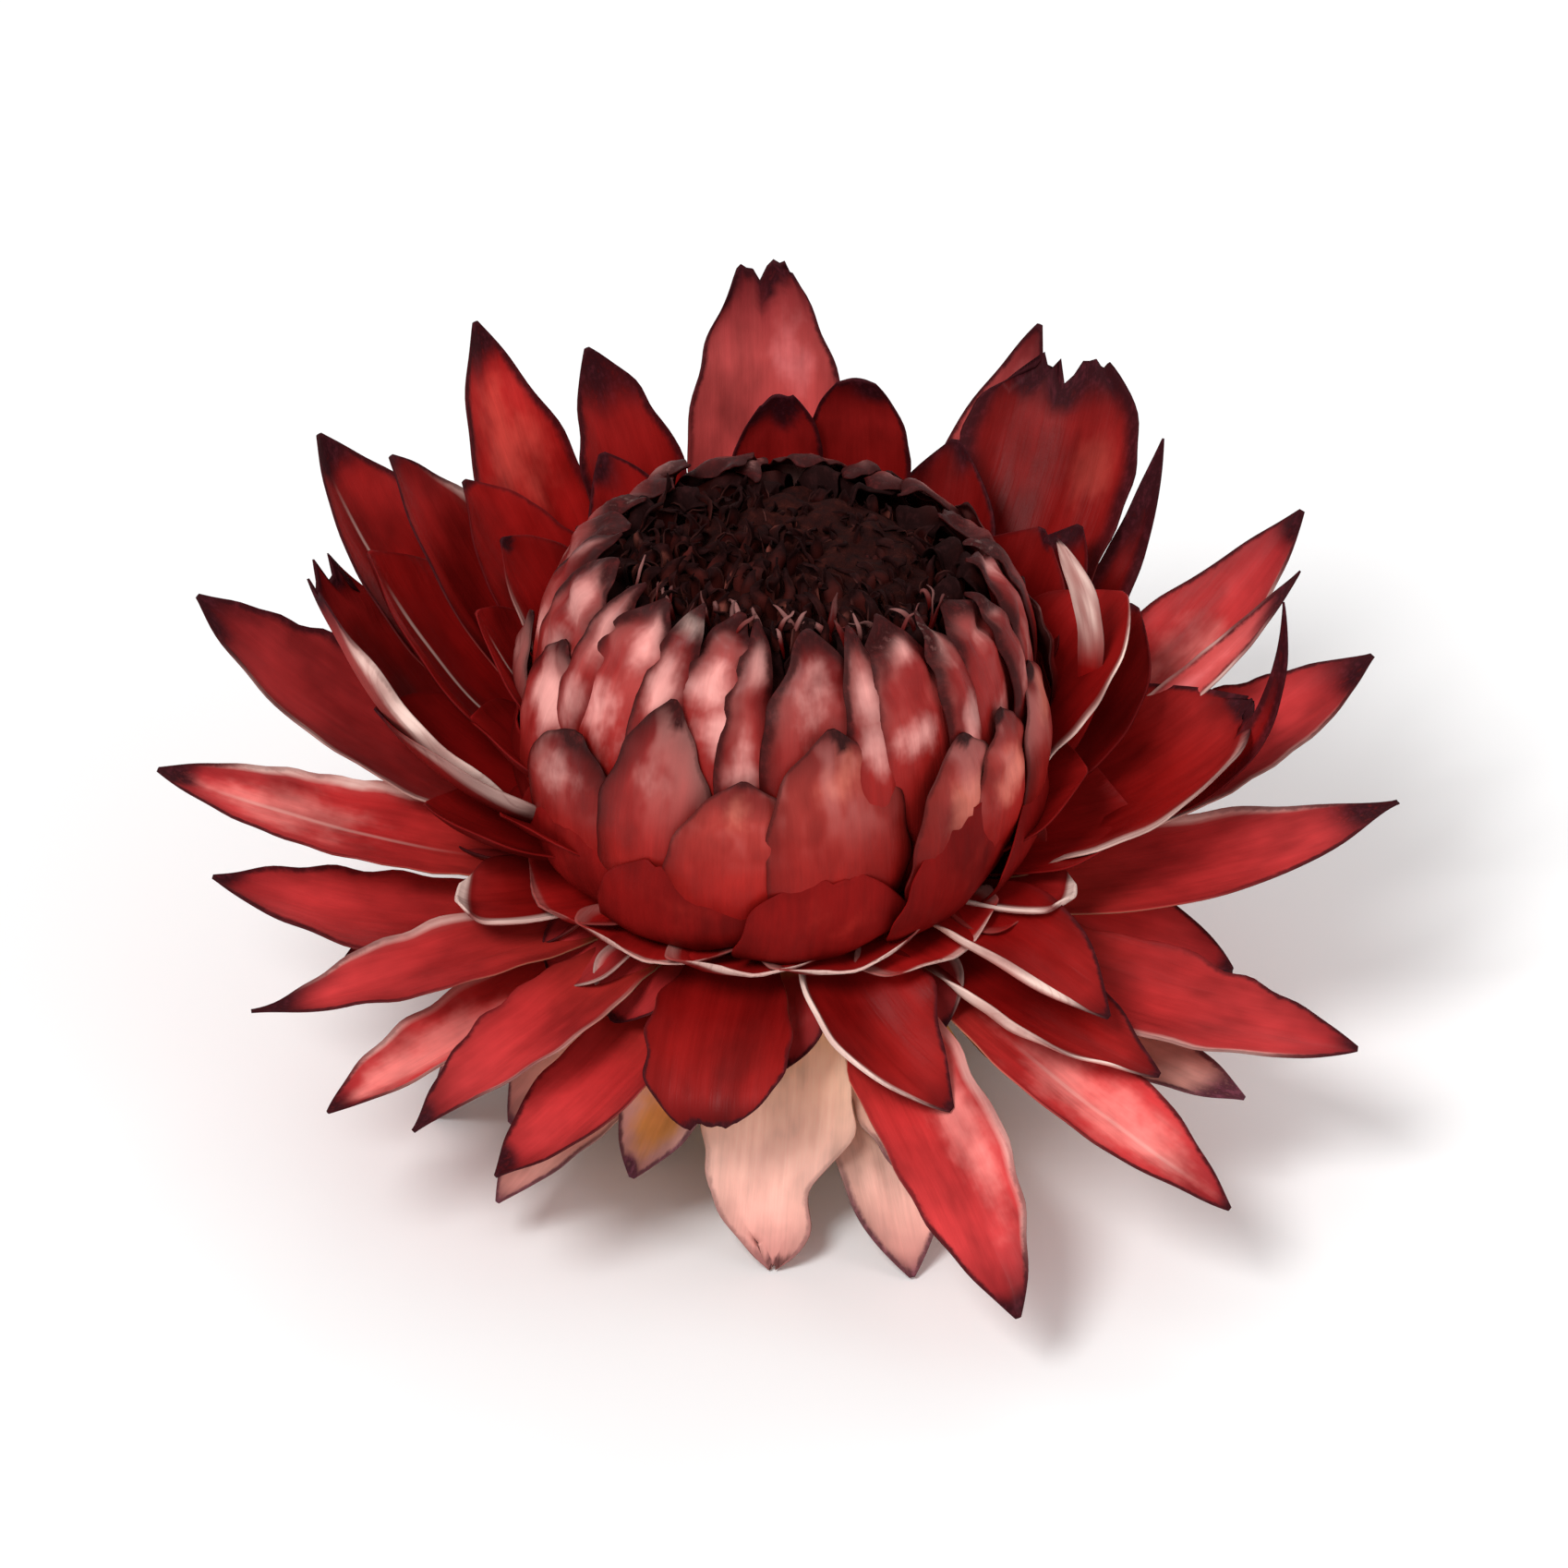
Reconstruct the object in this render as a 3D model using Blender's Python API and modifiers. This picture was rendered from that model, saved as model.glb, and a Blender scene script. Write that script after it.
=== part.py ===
"""Dried strawflower head, half open, cut off where the stem meets the head.

Metres, +Z up. The head rests on a flat surface at z = 0, on the tips of the
lowest, turned-down bracts. The origin is the centre of the bounding box's
base, which is within a millimetre of the head's own axis.

A strawflower head is a woody receptacle that carries papery bracts in whorls.
From the cut stem upwards they are:
  base_bract   small amber bracts around the cut stem
  skirt_bract  pale bracts turned down like a skirt, which the head rests on
  ring_bract   narrow pointed bracts that spread out level
  cup_bract    broad crimson bracts: they stand up behind, and lie flat in front
  bud_bract    bracts still closed over the middle, with shrivelled tips
Inside the bud a dark disc of dried florets stands on the receptacle.

Each bract is one thin curved sheet. It has a midrib that leaves the receptacle
at its own angle and bends to its tip, a width that swells and narrows along
it, and a channel across it.
"""

import math

import bmesh
import bpy
from mathutils import Vector

MM = 0.001

# ---------------------------------------------------------------- dimensions
WAIST_HEIGHT = 8.5 * MM       # of the receptacle's widest part above the table
BRACT_THICKNESS = 0.22 * MM   # a dried bract with its thickened midrib
TURN_STEPS = 28               # sides of the turned parts
ROWS, COLUMNS = 7, 4          # faces along and across a bract

# Where each whorl leaves the receptacle: radius, and height above the waist
WHORL_SEAT = {
    "base_bract": (3.4, -3.6),
    "skirt_bract": (5.0, -2.1),
    "ring_bract": (5.6, -0.9),
    "cup_bract": (5.5, 0.3),
    "bud_bract": (4.5, 0.9),
}

# Receptacle, top to bottom: radius and height above the waist, in millimetres
RECEPTACLE_PROFILE = [
    (0.0, 1.6), (2.2, 1.5), (3.6, 1.1), (4.2, 0.7), (4.9, 0.1), (5.2, -0.5),
    (5.3, -0.95), (5.1, -1.5), (4.7, -2.1), (3.9, -2.9), (3.1, -3.6),
    (2.2, -4.4), (1.6, -5.2), (1.5, -5.8), (0.0, -5.8),
]
# Florets packed into one dark disc: a pad that widens towards its crown
FLORET_PROFILE = [
    (0.0, 11.3), (2.2, 11.1), (3.8, 10.7), (4.7, 10.0), (5.0, 9.1), (4.7, 7.5),
    (4.2, 4.5), (3.8, 2.4), (3.3, 1.9), (0.0, 1.9),
]

# One row per bract, by whorl. Angles in degrees, lengths in millimetres.
#   azimuth  where it leaves the receptacle (0 is +X, 90 is the back, +Y)
#   sweep    how far its tip swings round from there
#   reach    radius of its tip
#   rise     height of its tip above the waist
#   launch   slope at which it leaves the receptacle
#   width    at its widest, measured round the channel
#   widest   where that is, from base (0) to tip (1)
#   channel  half of the angle that its cross-section is bent through
#   roll     turn about its own midrib, so that neighbours overlap like tiles
#   layer    how far below its whorl's seat it is set
#   tip      pointed, blunt or notched
P, B, N = "pointed", "blunt", "notched"
BRACTS = {
    "cup_bract": [
        (91, 2, 13.2, 11.3, 35, 5.2, 0.50, 20, 10, 0.0, N),
        (111, 4, 13.0, 9.2, 35, 3.3, 0.50, 22, 10, 0.5, P),
        (131, -3, 15.3, 9.8, 25, 4.4, 0.50, 22, 10, 0.0, P),
        (153, -4, 15.8, 8.7, 20, 5.0, 0.50, 25, 12, 0.3, P),
        (178, -12, 14.6, 7.6, 9, 6.6, 0.55, 28, 12, 0.0, N),
        (-158, -4, 10.4, 0.6, 0, 4.4, 0.50, 35, 8, 0.2, P),
        (-104, 2, 10.9, -2.3, -5, 4.4, 0.60, 20, 0, 0.4, B),
        (-78, 13, 10.9, -2.4, -10, 4.2, 0.50, 25, 0, 0.0, P),
        (-44, 6, 13.8, -2.2, -12, 4.2, 0.50, 25, 0, 0.6, P),
        (-42, 2, 12.2, -0.6, 8, 4.0, 0.50, 30, 0, -0.3, P),
        (-3, 14, 14.0, 3.2, 10, 6.0, 0.50, 28, 8, 0.0, P),
        (24, 13, 14.0, 7.8, 10, 2.5, 0.50, 35, 12, 0.6, P),
        (43, 9, 14.6, 8.6, 30, 5.6, 0.60, 20, 10, 0.0, N),
        (62, -2, 15.3, 8.8, 15, 4.0, 0.50, 22, 10, 0.5, P),
    ],
    "ring_bract": [
        (-10, 13, 18.1, 0.6, 2, 3.5, 0.45, 28, 8, 0.4, P),
        (8, 7, 18.1, 3.0, 10, 3.6, 0.45, 28, 8, 0.0, P),
        (24, 8, 18.0, 5.0, 12, 3.4, 0.45, 28, 8, 0.3, P),
        (60, 2, 16.8, 1.6, 8, 3.8, 0.45, 25, 8, 0.0, P),
        (90, 0, 17.0, 1.2, 8, 3.8, 0.45, 25, 8, 0.0, P),
        (120, -2, 17.0, 1.4, 8, 3.8, 0.45, 25, 8, 0.0, P),
        (167, -2, 17.6, 5.0, 12, 3.6, 0.45, 28, 8, 0.0, P),
        (-177, -5, 18.4, 1.5, 8, 3.0, 0.45, 28, 8, 0.1, P),
        (-165, -7, 16.9, 0.0, -6, 3.2, 0.45, 28, 8, 0.7, P),
        (-151, -7, 16.8, -1.6, 4, 2.8, 0.45, 28, 8, 0.0, P),
        (-140, -3, 16.6, -2.3, -12, 2.6, 0.45, 28, 4, 0.7, P),
        (-132, -2, 15.3, -2.2, 2, 3.4, 0.45, 28, 8, 0.0, P),
        (-119, -5, 14.6, -3.1, -14, 3.4, 0.45, 28, 8, 0.5, P),
        (-68, 2, 16.6, -5.8, -15, 3.8, 0.45, 25, 4, 0.0, P),
        (-45, 3, 17.4, -4.4, -12, 3.4, 0.45, 28, 4, 0.2, P),
        (-27, 7, 17.7, -3.2, -9, 3.8, 0.45, 25, 6, 0.6, P),
    ],
    "skirt_bract": [
        (-92, -2, 9.8, -8.4, -45, 4.6, 0.50, 20, 4, 0.0, P),
        (-67, -1, 10.8, -8.4, -50, 3.4, 0.50, 22, 8, 0.6, P),
        (-113, -3, 10.0, -5.6, -20, 3.2, 0.45, 22, 4, 0.0, P),
        (-132, 1, 11.8, -6.4, -40, 3.2, 0.45, 22, 4, 0.6, P),
        (-27, 0, 15.3, -4.0, -20, 3.2, 0.45, 22, 4, 0.0, P),
        (20, 0, 11.0, -8.4, -45, 4.2, 0.50, 20, 4, 0.0, P),
        (62, 0, 10.8, -8.4, -45, 4.2, 0.50, 20, 4, 0.0, P),
        (104, 0, 11.0, -8.4, -45, 4.2, 0.50, 20, 4, 0.0, P),
        (148, 0, 10.8, -8.4, -45, 4.2, 0.50, 20, 4, 0.0, P),
        (-166, 0, 10.8, -8.4, -45, 4.2, 0.50, 20, 4, 0.0, P),
    ],
    # Evenly spaced whorls follow a rule
    "base_bract": [
        (-56 + 72 * i, 0, 6.2, -8.0, -40, 3.2, 0.55, 20, 0, 0.0, P) for i in range(5)
    ],
    "bud_bract": [
        (-82 + 360 * i / 13, 0, 5.0, 11.4 + 0.3 * math.sin(2.4 * i),
         None, 3.5, 0.45, 13, 5, 0.0, P)
        for i in range(13)
    ],
}
# A bud bract swells out over the florets: radius and height of its two handles
BUD_HANDLES = [(8.7, 2.2), (8.3, 9.6)]

# colour (linear), roughness
FINISH = {
    "base_bract": ((0.78, 0.50, 0.16), 0.60),
    "skirt_bract": ((0.80, 0.42, 0.30), 0.55),
    "ring_bract": ((0.42, 0.035, 0.04), 0.42),
    "cup_bract": ((0.24, 0.012, 0.016), 0.38),
    "bud_bract": ((0.50, 0.13, 0.13), 0.35),
    "receptacle": ((0.62, 0.45, 0.20), 0.80),
    "floret_disc": ((0.012, 0.006, 0.006), 0.85),
}


# ------------------------------------------------------------------ helpers
def finish(name):
    """The material of a kind of piece, made once."""
    material = bpy.data.materials.get(name)
    if material is None:
        material = bpy.data.materials.new(name)
        material.use_nodes = True
        shader = material.node_tree.nodes["Principled BSDF"]
        colour, roughness = FINISH[name]
        shader.inputs["Base Color"].default_value = (*colour, 1.0)
        shader.inputs["Roughness"].default_value = roughness
        shader.inputs["Metallic"].default_value = 0.0
        material.diffuse_color = (*colour, 1.0)
    return material


def half_width(t, width, widest, tip):
    """Half of the bract's width at t: a claw at the base, then a swell, then the tip."""
    if t < widest:
        share = 0.45 + 0.55 * math.sin(t / widest * math.pi / 2)
    else:
        past = (t - widest) / (1 - widest)
        power, least = {"pointed": (1.6, 0.06), "blunt": (3.0, 0.35), "notched": (2.6, 0.42)}[tip]
        share = max(1 - past**power, 0) * (1 - least) + least
    return width * share / 2


def midrib(kind, row, t):
    """Point of the midrib in millimetres, from the head's axis and the waist."""
    azimuth, sweep, reach, rise, launch, *_, layer, _ = row
    seat_r, seat_z = WHORL_SEAT[kind]
    seat_r, seat_z = seat_r + 0.15 * layer, seat_z - layer
    if launch is None:
        handles = [(seat_r, seat_z), *BUD_HANDLES, (reach, rise)]
    else:
        pull = 0.5 * math.hypot(reach - seat_r, rise - seat_z)
        slope = math.radians(launch)
        handles = [
            (seat_r, seat_z),
            (seat_r + pull * math.cos(slope), seat_z + pull * math.sin(slope)),
            (reach, rise),
        ]
    order = len(handles) - 1
    share = [math.comb(order, k) * t**k * (1 - t) ** (order - k) for k in range(order + 1)]
    r = sum(w * h[0] for w, h in zip(share, handles))
    z = sum(w * h[1] for w, h in zip(share, handles))
    turn = math.radians(azimuth + sweep * t**1.5)
    return Vector((r * math.cos(turn), r * math.sin(turn), z)), turn


def on_sheet(kind, row, s, t):
    """Point of the sheet at s across (-1 to 1) and t along (0 to 1), in millimetres."""
    width, widest, channel, roll, _, tip = row[5:]
    if tip == "notched" and t > 0.8:
        # a bite out of the end: the middle and the corners fall short of two points
        t -= 0.10 * (t - 0.8) / 0.2 * abs(1 - 2 * abs(s)) ** 1.5
    here, turn = midrib(kind, row, t)
    step = 0.01
    along = (midrib(kind, row, t + step)[0] - midrib(kind, row, t - step)[0]).normalized() \
        if step <= t <= 1 - step else \
        ((midrib(kind, row, t + step)[0] - here) if t < step else
         (here - midrib(kind, row, t - step)[0])).normalized()
    across = Vector((-math.sin(turn), math.cos(turn), 0))
    across = (across - along * across.dot(along)).normalized()
    inward = along.cross(across)
    lean = math.radians(roll)
    across, inward = (
        across * math.cos(lean) + inward * math.sin(lean),
        inward * math.cos(lean) - across * math.sin(lean),
    )
    bend = math.radians(channel)
    radius = half_width(t, width, widest, tip) / bend
    return here + across * radius * math.sin(bend * s) + inward * radius * (1 - math.cos(bend * s))


# -------------------------------------------------------------------- pieces
def add(name, mesh, material, collection, parent):
    mesh.materials.append(finish(material))
    mesh.shade_smooth()
    piece = bpy.data.objects.new(name, mesh)
    piece.parent = parent
    collection.objects.link(piece)
    return piece


def bract(name, kind, row, collection, parent):
    """An open sheet, bent from a flat grid, with Solidify for its thickness."""
    sheet = bmesh.new()
    bmesh.ops.create_grid(sheet, x_segments=COLUMNS, y_segments=ROWS, size=1.0)
    for vertex in sheet.verts:
        s, t = vertex.co.x, (vertex.co.y + 1) / 2
        vertex.co = on_sheet(kind, row, s, t) * MM
    mesh = bpy.data.meshes.new(name)
    sheet.to_mesh(mesh)
    sheet.free()
    piece = add(name, mesh, kind, collection, parent)
    shell = piece.modifiers.new("thickness", "SOLIDIFY")
    shell.thickness = BRACT_THICKNESS
    shell.offset = 0.0
    return piece


def turned(name, profile, collection, parent):
    """A solid of revolution from a profile that runs down its outer side."""
    mesh = bpy.data.meshes.new(name)
    mesh.from_pydata(
        [(r * MM, 0, z * MM) for r, z in profile],
        [(i, i + 1) for i in range(len(profile) - 1)],
        [],
    )
    piece = add(name, mesh, name, collection, parent)
    screw = piece.modifiers.new("turn", "SCREW")
    screw.steps = screw.render_steps = TURN_STEPS
    screw.use_merge_vertices = True
    screw.merge_threshold = 0.00001
    return piece


def bounds(pieces):
    """Lowest and highest corner of the pieces as they stand."""
    bpy.context.view_layer.update()
    graph = bpy.context.evaluated_depsgraph_get()
    corners = []
    for piece in pieces:
        shaped = piece.evaluated_get(graph)
        mesh = shaped.to_mesh()
        corners += [shaped.matrix_world @ v.co for v in mesh.vertices]
        shaped.to_mesh_clear()
    return (
        Vector(map(min, zip(*corners))),
        Vector(map(max, zip(*corners))),
    )


def main():
    for old in list(bpy.data.objects):
        bpy.data.objects.remove(old, do_unlink=True)

    collection = bpy.data.collections.new("dried_strawflower")
    bpy.context.scene.collection.children.link(collection)

    # Every piece hangs on the head's axis, at the height of the waist
    axis = bpy.data.objects.new("head_axis", None)
    axis.empty_display_size = 0.01
    axis.location = (0, 0, WAIST_HEIGHT)
    collection.objects.link(axis)

    pieces = [
        turned("receptacle", RECEPTACLE_PROFILE, collection, axis),
        turned("floret_disc", FLORET_PROFILE, collection, axis),
    ]
    for kind, rows in BRACTS.items():
        for number, row in enumerate(rows, 1):
            pieces.append(bract(f"{kind}_{number:02d}", kind, row, collection, axis))

    # Stand the head on z = 0 with the middle of its box over the origin
    low, high = bounds(pieces)
    axis.location -= Vector(((low.x + high.x) / 2, (low.y + high.y) / 2, low.z))


main()
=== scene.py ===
"""Looks of one dried strawflower head, resting on its turned-down bracts.

Every bract is a thin, double-walled papery sheet, shaped along its own midrib:
channelled, pleated and rippled, with rolled margins and shrivelled tips.
The sheets carry what their place on the bract is, and the materials colour
them from that: cream claws, crimson blades, pale rolled rims, inky margins,
and painted highlights and painted shade where light and shadow fall on them.
"""

import math

import bpy
import numpy as np
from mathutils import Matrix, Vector


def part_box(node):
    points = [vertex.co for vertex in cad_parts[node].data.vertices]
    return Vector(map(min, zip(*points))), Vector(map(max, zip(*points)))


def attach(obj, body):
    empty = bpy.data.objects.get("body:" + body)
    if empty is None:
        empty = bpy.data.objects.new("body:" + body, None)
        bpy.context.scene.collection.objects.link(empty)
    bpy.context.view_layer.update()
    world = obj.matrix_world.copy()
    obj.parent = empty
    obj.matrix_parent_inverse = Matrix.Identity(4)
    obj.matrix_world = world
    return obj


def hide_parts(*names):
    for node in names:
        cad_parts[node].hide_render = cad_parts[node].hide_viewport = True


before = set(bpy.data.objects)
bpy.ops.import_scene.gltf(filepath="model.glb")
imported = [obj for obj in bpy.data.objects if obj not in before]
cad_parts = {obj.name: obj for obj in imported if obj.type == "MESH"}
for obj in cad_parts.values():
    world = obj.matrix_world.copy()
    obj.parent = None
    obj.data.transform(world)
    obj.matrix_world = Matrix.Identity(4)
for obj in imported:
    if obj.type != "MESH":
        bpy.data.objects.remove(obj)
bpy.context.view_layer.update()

MM = 0.001

# The head's axis and waist, from the receptacle that carries everything
_low, _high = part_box("receptacle")
AXIS = np.array([(_low.x + _high.x) / 2, (_low.y + _high.y) / 2, _low.z + 5.8 * MM]) / MM

SEAT = {
    "base": (3.4, -3.6),
    "skirt": (5.0, -2.1),
    "ring": (5.6, -0.9),
    "cup": (5.5, 0.3),
    "bud": (4.5, 0.9),
}


# ------------------------------------------------------------ smooth functions
def smooth(x, a, b):
    x = np.clip((np.asarray(x, float) - a) / (b - a), 0, 1)
    return x * x * (3 - 2 * x)


def waves(seed, count, low, high):
    """A seeded smooth random function of two coordinates, about -1 to 1."""
    rng = np.random.default_rng(seed)
    k = rng.uniform(low, high, count)
    heading = rng.uniform(0, 2 * np.pi, count)
    phase = rng.uniform(0, 2 * np.pi, count)

    def at(x, y=0.0):
        total = 0.0
        for a, b, c in zip(k, heading, phase):
            total = total + np.sin(a * (x * np.cos(b) + y * np.sin(b)) + c)
        return total / math.sqrt(count)

    return at


# ------------------------------------------------------------------ one bract
LOOK = dict(
    seat=None,          # radius and height where it is set, instead of its whorl's
    handles=None,       # middle handles of its midrib, instead of a launch angle
    hook=0.0,           # degrees its end bends up (or down) ...
    hook_from=0.80,     # ... from here on
    arch=0.0,           # degrees of extra slope at the middle of the midrib
    sway=0.0,           # degrees of sideways bend of the midrib
    twist=0.0,          # degrees it turns about its midrib towards the tip
    vee=0.35,           # 0: round channel, 1: sharp fold at the midrib
    pleats=3.0,         # pleats across
    pleat=9.0,          # their depth, in degrees
    roll_l=0.0,         # degrees the left margin (s = -1) rolls inwards
    roll_r=0.0,         # and the right one
    roll_at=0.70,       # share of the half-width where the rolling starts
    roll_t=(0.15, 0.9), # where along the bract it is rolled
    taper=2.2,          # shape of the narrowing towards the tip
    drawn=1.0,          # over 1 draws the tip out thin
    claw=0.45,          # width of the base, as a share
    lop=0.0,            # how much wider the right half is
    cut=0.0,            # how much of the right half is torn away beyond its middle
    notch=0.05,         # depth of the notch of a notched end
    torn=0.0,           # raggedness of the end, as a share of its length
    ripple=0.05,        # waviness in mm
    crumple=0.0,        # of the end part, in mm
    thick=0.15,         # mm
    ink=1.0,            # dark line along the margins
    ink_w=1.0,          # its width
    tipdark=0.10,       # share of the length that is shrivelled dark
    rim_l=0.0,          # pale left margin: its paler underside rolled over, with a painted highlight along the curl
    rim_r=0.0,          # pale right margin, likewise partly a painted highlight
    rim_at=0.80,        # share of the half-width where they start
    tiprim=0.0,         # pale end, partly a painted highlight ...
    tiprim_at=0.90,     # ... from here on
    crease_highlight=0.0,         # painted highlight along a fold at the midrib
    crease_at=0.0,      # or beside it
    glow=0.0,           # painted highlight: a patch of the lit colour, for sheen and light shining through
    painted_light_at=(0.5, 0.25),
    painted_light_also=None,     # where along it a second patch is
    painted_light_w=0.75,        # its half-width across, as a share
    painted_light_off=0.0,       # and how far off the midrib it is
    frost=0.0,          # pale shrivelled skin below the tip, with a painted sheen on it
    tone=0.5,           # darker (0) or lighter (1) than usual: the bract's own tone, and painted shade on bracts that sit in shadow
    rows=40,
    cols=17,
)


def bract_sheet(kind, row, seed, **own):
    """Vertices (in mm), quads and the attributes of one bract."""
    look = {**LOOK, **own}
    azimuth, sweep, reach, rise, launch, width, widest, channel, roll, layer, tip = row
    seat_r, seat_z = look["seat"] or SEAT[kind]
    seat_r, seat_z = seat_r + 0.15 * layer, seat_z - layer

    # The midrib as a curve in the plane of the axis, then bent further
    if look["handles"]:
        handles = [(seat_r, seat_z), *look["handles"], (reach, rise)]
    else:
        pull = 0.5 * math.hypot(reach - seat_r, rise - seat_z)
        slope = math.radians(launch)
        handles = [
            (seat_r, seat_z),
            (seat_r + pull * math.cos(slope), seat_z + pull * math.sin(slope)),
            (reach, rise),
        ]
    u = np.linspace(0, 1, 241)
    order = len(handles) - 1
    share = [math.comb(order, k) * u**k * (1 - u) ** (order - k) for k in range(order + 1)]
    r = sum(w * h[0] for w, h in zip(share, handles))
    z = sum(w * h[1] for w, h in zip(share, handles))
    step = np.hypot(np.diff(r), np.diff(z))
    bearing = np.unwrap(np.arctan2(np.diff(z), np.diff(r)))
    mid = (u[1:] + u[:-1]) / 2
    bearing = bearing + np.radians(look["hook"]) * smooth(mid, look["hook_from"], 1.0) ** 1.2
    bearing = bearing + np.radians(look["arch"]) * np.cos(np.pi * mid)
    r = seat_r + np.concatenate([[0], np.cumsum(step * np.cos(bearing))])
    z = seat_z + np.concatenate([[0], np.cumsum(step * np.sin(bearing))])
    length = step.sum()
    sway = waves(seed + 7, 3, 2.0, 5.0)(u) - waves(seed + 7, 3, 2.0, 5.0)(0.0)
    turn = np.radians(azimuth + sweep * u**1.5 + look["sway"] * np.sin(np.pi * u) + 0.9 * sway * u)
    rib = np.stack([r * np.cos(turn), r * np.sin(turn), z], 1)
    along = np.gradient(rib, axis=0)
    along /= np.linalg.norm(along, axis=1)[:, None]
    side = np.stack([-np.sin(turn), np.cos(turn), np.zeros_like(turn)], 1)
    side -= along * (side * along).sum(1)[:, None]
    side /= np.linalg.norm(side, axis=1)[:, None]
    inward = np.cross(along, side)
    lean = np.radians(roll + look["twist"] * smooth(u, 0.25, 1.0))[:, None]
    side, inward = side * np.cos(lean) + inward * np.sin(lean), inward * np.cos(lean) - side * np.sin(lean)

    # The sheet's own grid: t along it, s across it, closer together at the rims
    rows, cols = look["rows"], look["cols"]
    t = 1 - (1 - np.linspace(0, 1, rows)) ** 1.25
    half = np.linspace(-1, 1, cols)
    s = np.sign(half) * (1 - (1 - np.abs(half)) ** 1.7)
    T, S = np.meshgrid(t, s, indexing="ij")

    # Outline
    before = look["claw"] + (1 - look["claw"]) * np.sin(np.clip(T / widest, 0, 1) * np.pi / 2)
    past = np.clip((T - widest) / (1 - widest), 0, 1)
    power, least = {"P": (look["taper"], 0.05), "B": (3.0, 0.35), "N": (2.6, 0.42)}[tip]
    after = np.maximum(1 - past**power, 0) ** look["drawn"] * (1 - least) + least
    W = width / 2 * np.where(T < widest, before, after)
    nibble = waves(seed + 1, 5, 4.0, 16.0)
    W = W * (1 + 0.045 * nibble(T * length / 3, np.sign(S) * 9.0)) * (1 + look["lop"] * S)
    if look["cut"]:
        jag = 0.75 + 0.35 * waves(seed + 12, 5, 5.0, 14.0)(T * 3)
        W = W * (1 - look["cut"] * smooth(T, 0.40, 0.72) * jag * (S > 0))

    # Cross-section, from the slope at each point across
    bend = math.radians(channel)
    slope = bend * ((1 - look["vee"]) * S + look["vee"] * np.tanh(S / 0.13))
    phase = np.random.default_rng(seed + 2).uniform(0, 2 * np.pi)
    drift = waves(seed + 3, 3, 1.0, 3.0)
    slope += math.radians(look["pleat"]) * np.sin(np.pi * look["pleats"] * S + phase + 0.7 * drift(T * 2, S)) * smooth(T, 0.0, 0.25) * (1 - 0.5 * smooth(T, 0.8, 1))
    window = smooth(T, look["roll_t"][0], look["roll_t"][0] + 0.2) * (1 - smooth(T, look["roll_t"][1] - 0.15, look["roll_t"][1] + 0.05))
    edgewave = 1 + 0.3 * waves(seed + 4, 4, 3.0, 9.0)(T * length / 4)
    slope += math.radians(look["roll_r"]) * smooth(S, look["roll_at"], 1.0) * window * edgewave
    slope -= math.radians(look["roll_l"]) * smooth(-S, look["roll_at"], 1.0) * window * edgewave
    centre = cols // 2

    def across_sum(f):
        out = np.zeros_like(T)
        ds = np.diff(s)
        area = (f[:, 1:] + f[:, :-1]) / 2 * ds
        out[:, centre + 1:] = np.cumsum(area[:, centre:], 1)
        out[:, :centre] = -np.cumsum(area[:, :centre][:, ::-1], 1)[:, ::-1]
        return out

    X = across_sum(np.cos(slope) * W)
    Y = across_sum(np.sin(slope) * W)

    # The end falls short where it is notched or torn
    end = smooth(T, 0.72, 1.0)
    short = np.zeros_like(T)
    if tip == "N":
        short = look["notch"] * np.abs(1 - 2 * np.abs(S)) ** 1.5
    if look["torn"]:
        tear = waves(seed + 5, 6, 2.0, 11.0)
        short = short + look["torn"] * np.abs(tear(S * 1.3)) ** 1.2
    Te = T * (1 - short * end)

    def at(field):
        return np.stack([np.interp(Te, u, field[:, k]) for k in range(3)], -1)

    ripple = waves(seed + 6, 6, 1.0, 3.2)
    crumple = waves(seed + 8, 7, 2.5, 7.0)
    lift = look["ripple"] * ripple(X, T * length) * (0.35 + 0.65 * np.abs(S)) * smooth(T, 0.03, 0.3)
    lift = lift + look["crumple"] * crumple(X, T * length) * smooth(T, 0.55, 0.95)
    P = at(rib) + at(side) * X[..., None] + at(inward) * (Y + lift)[..., None]
    if look["crumple"]:
        P = P + at(side) * (look["crumple"] * 0.7 * waves(seed + 9, 6, 2.5, 6.0)(X, T * length) * smooth(T, 0.6, 0.95))[..., None]

    normal = np.cross(np.gradient(P, axis=0), np.gradient(P, axis=1))
    normal /= np.maximum(np.linalg.norm(normal, axis=2), 1e-9)[..., None]
    thick = look["thick"] * (1 - 0.62 * np.abs(S) ** 3) * (1 - 0.45 * smooth(T, 0.8, 1.0)) * (1 + 0.25 * (1 - smooth(T, 0, 0.3)))
    inner = P + normal * thick[..., None] / 2
    outer = P - normal * thick[..., None] / 2
    points = np.concatenate([inner.reshape(-1, 3), outer.reshape(-1, 3)])

    index = np.arange(rows * cols).reshape(rows, cols)
    other = index + rows * cols
    quads = [
        np.stack([index[:-1, :-1], index[1:, :-1], index[1:, 1:], index[:-1, 1:]], -1).reshape(-1, 4),
        np.stack([other[:-1, :-1], other[:-1, 1:], other[1:, 1:], other[1:, :-1]], -1).reshape(-1, 4),
        np.stack([index[:-1, -1], index[1:, -1], other[1:, -1], other[:-1, -1]], -1),
        np.stack([index[:-1, 0], other[:-1, 0], other[1:, 0], index[1:, 0]], -1),
        np.stack([index[-1, :-1], other[-1, :-1], other[-1, 1:], index[-1, 1:]], -1),
        np.stack([index[0, :-1], index[0, 1:], other[0, 1:], other[0, :-1]], -1),
    ]

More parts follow.
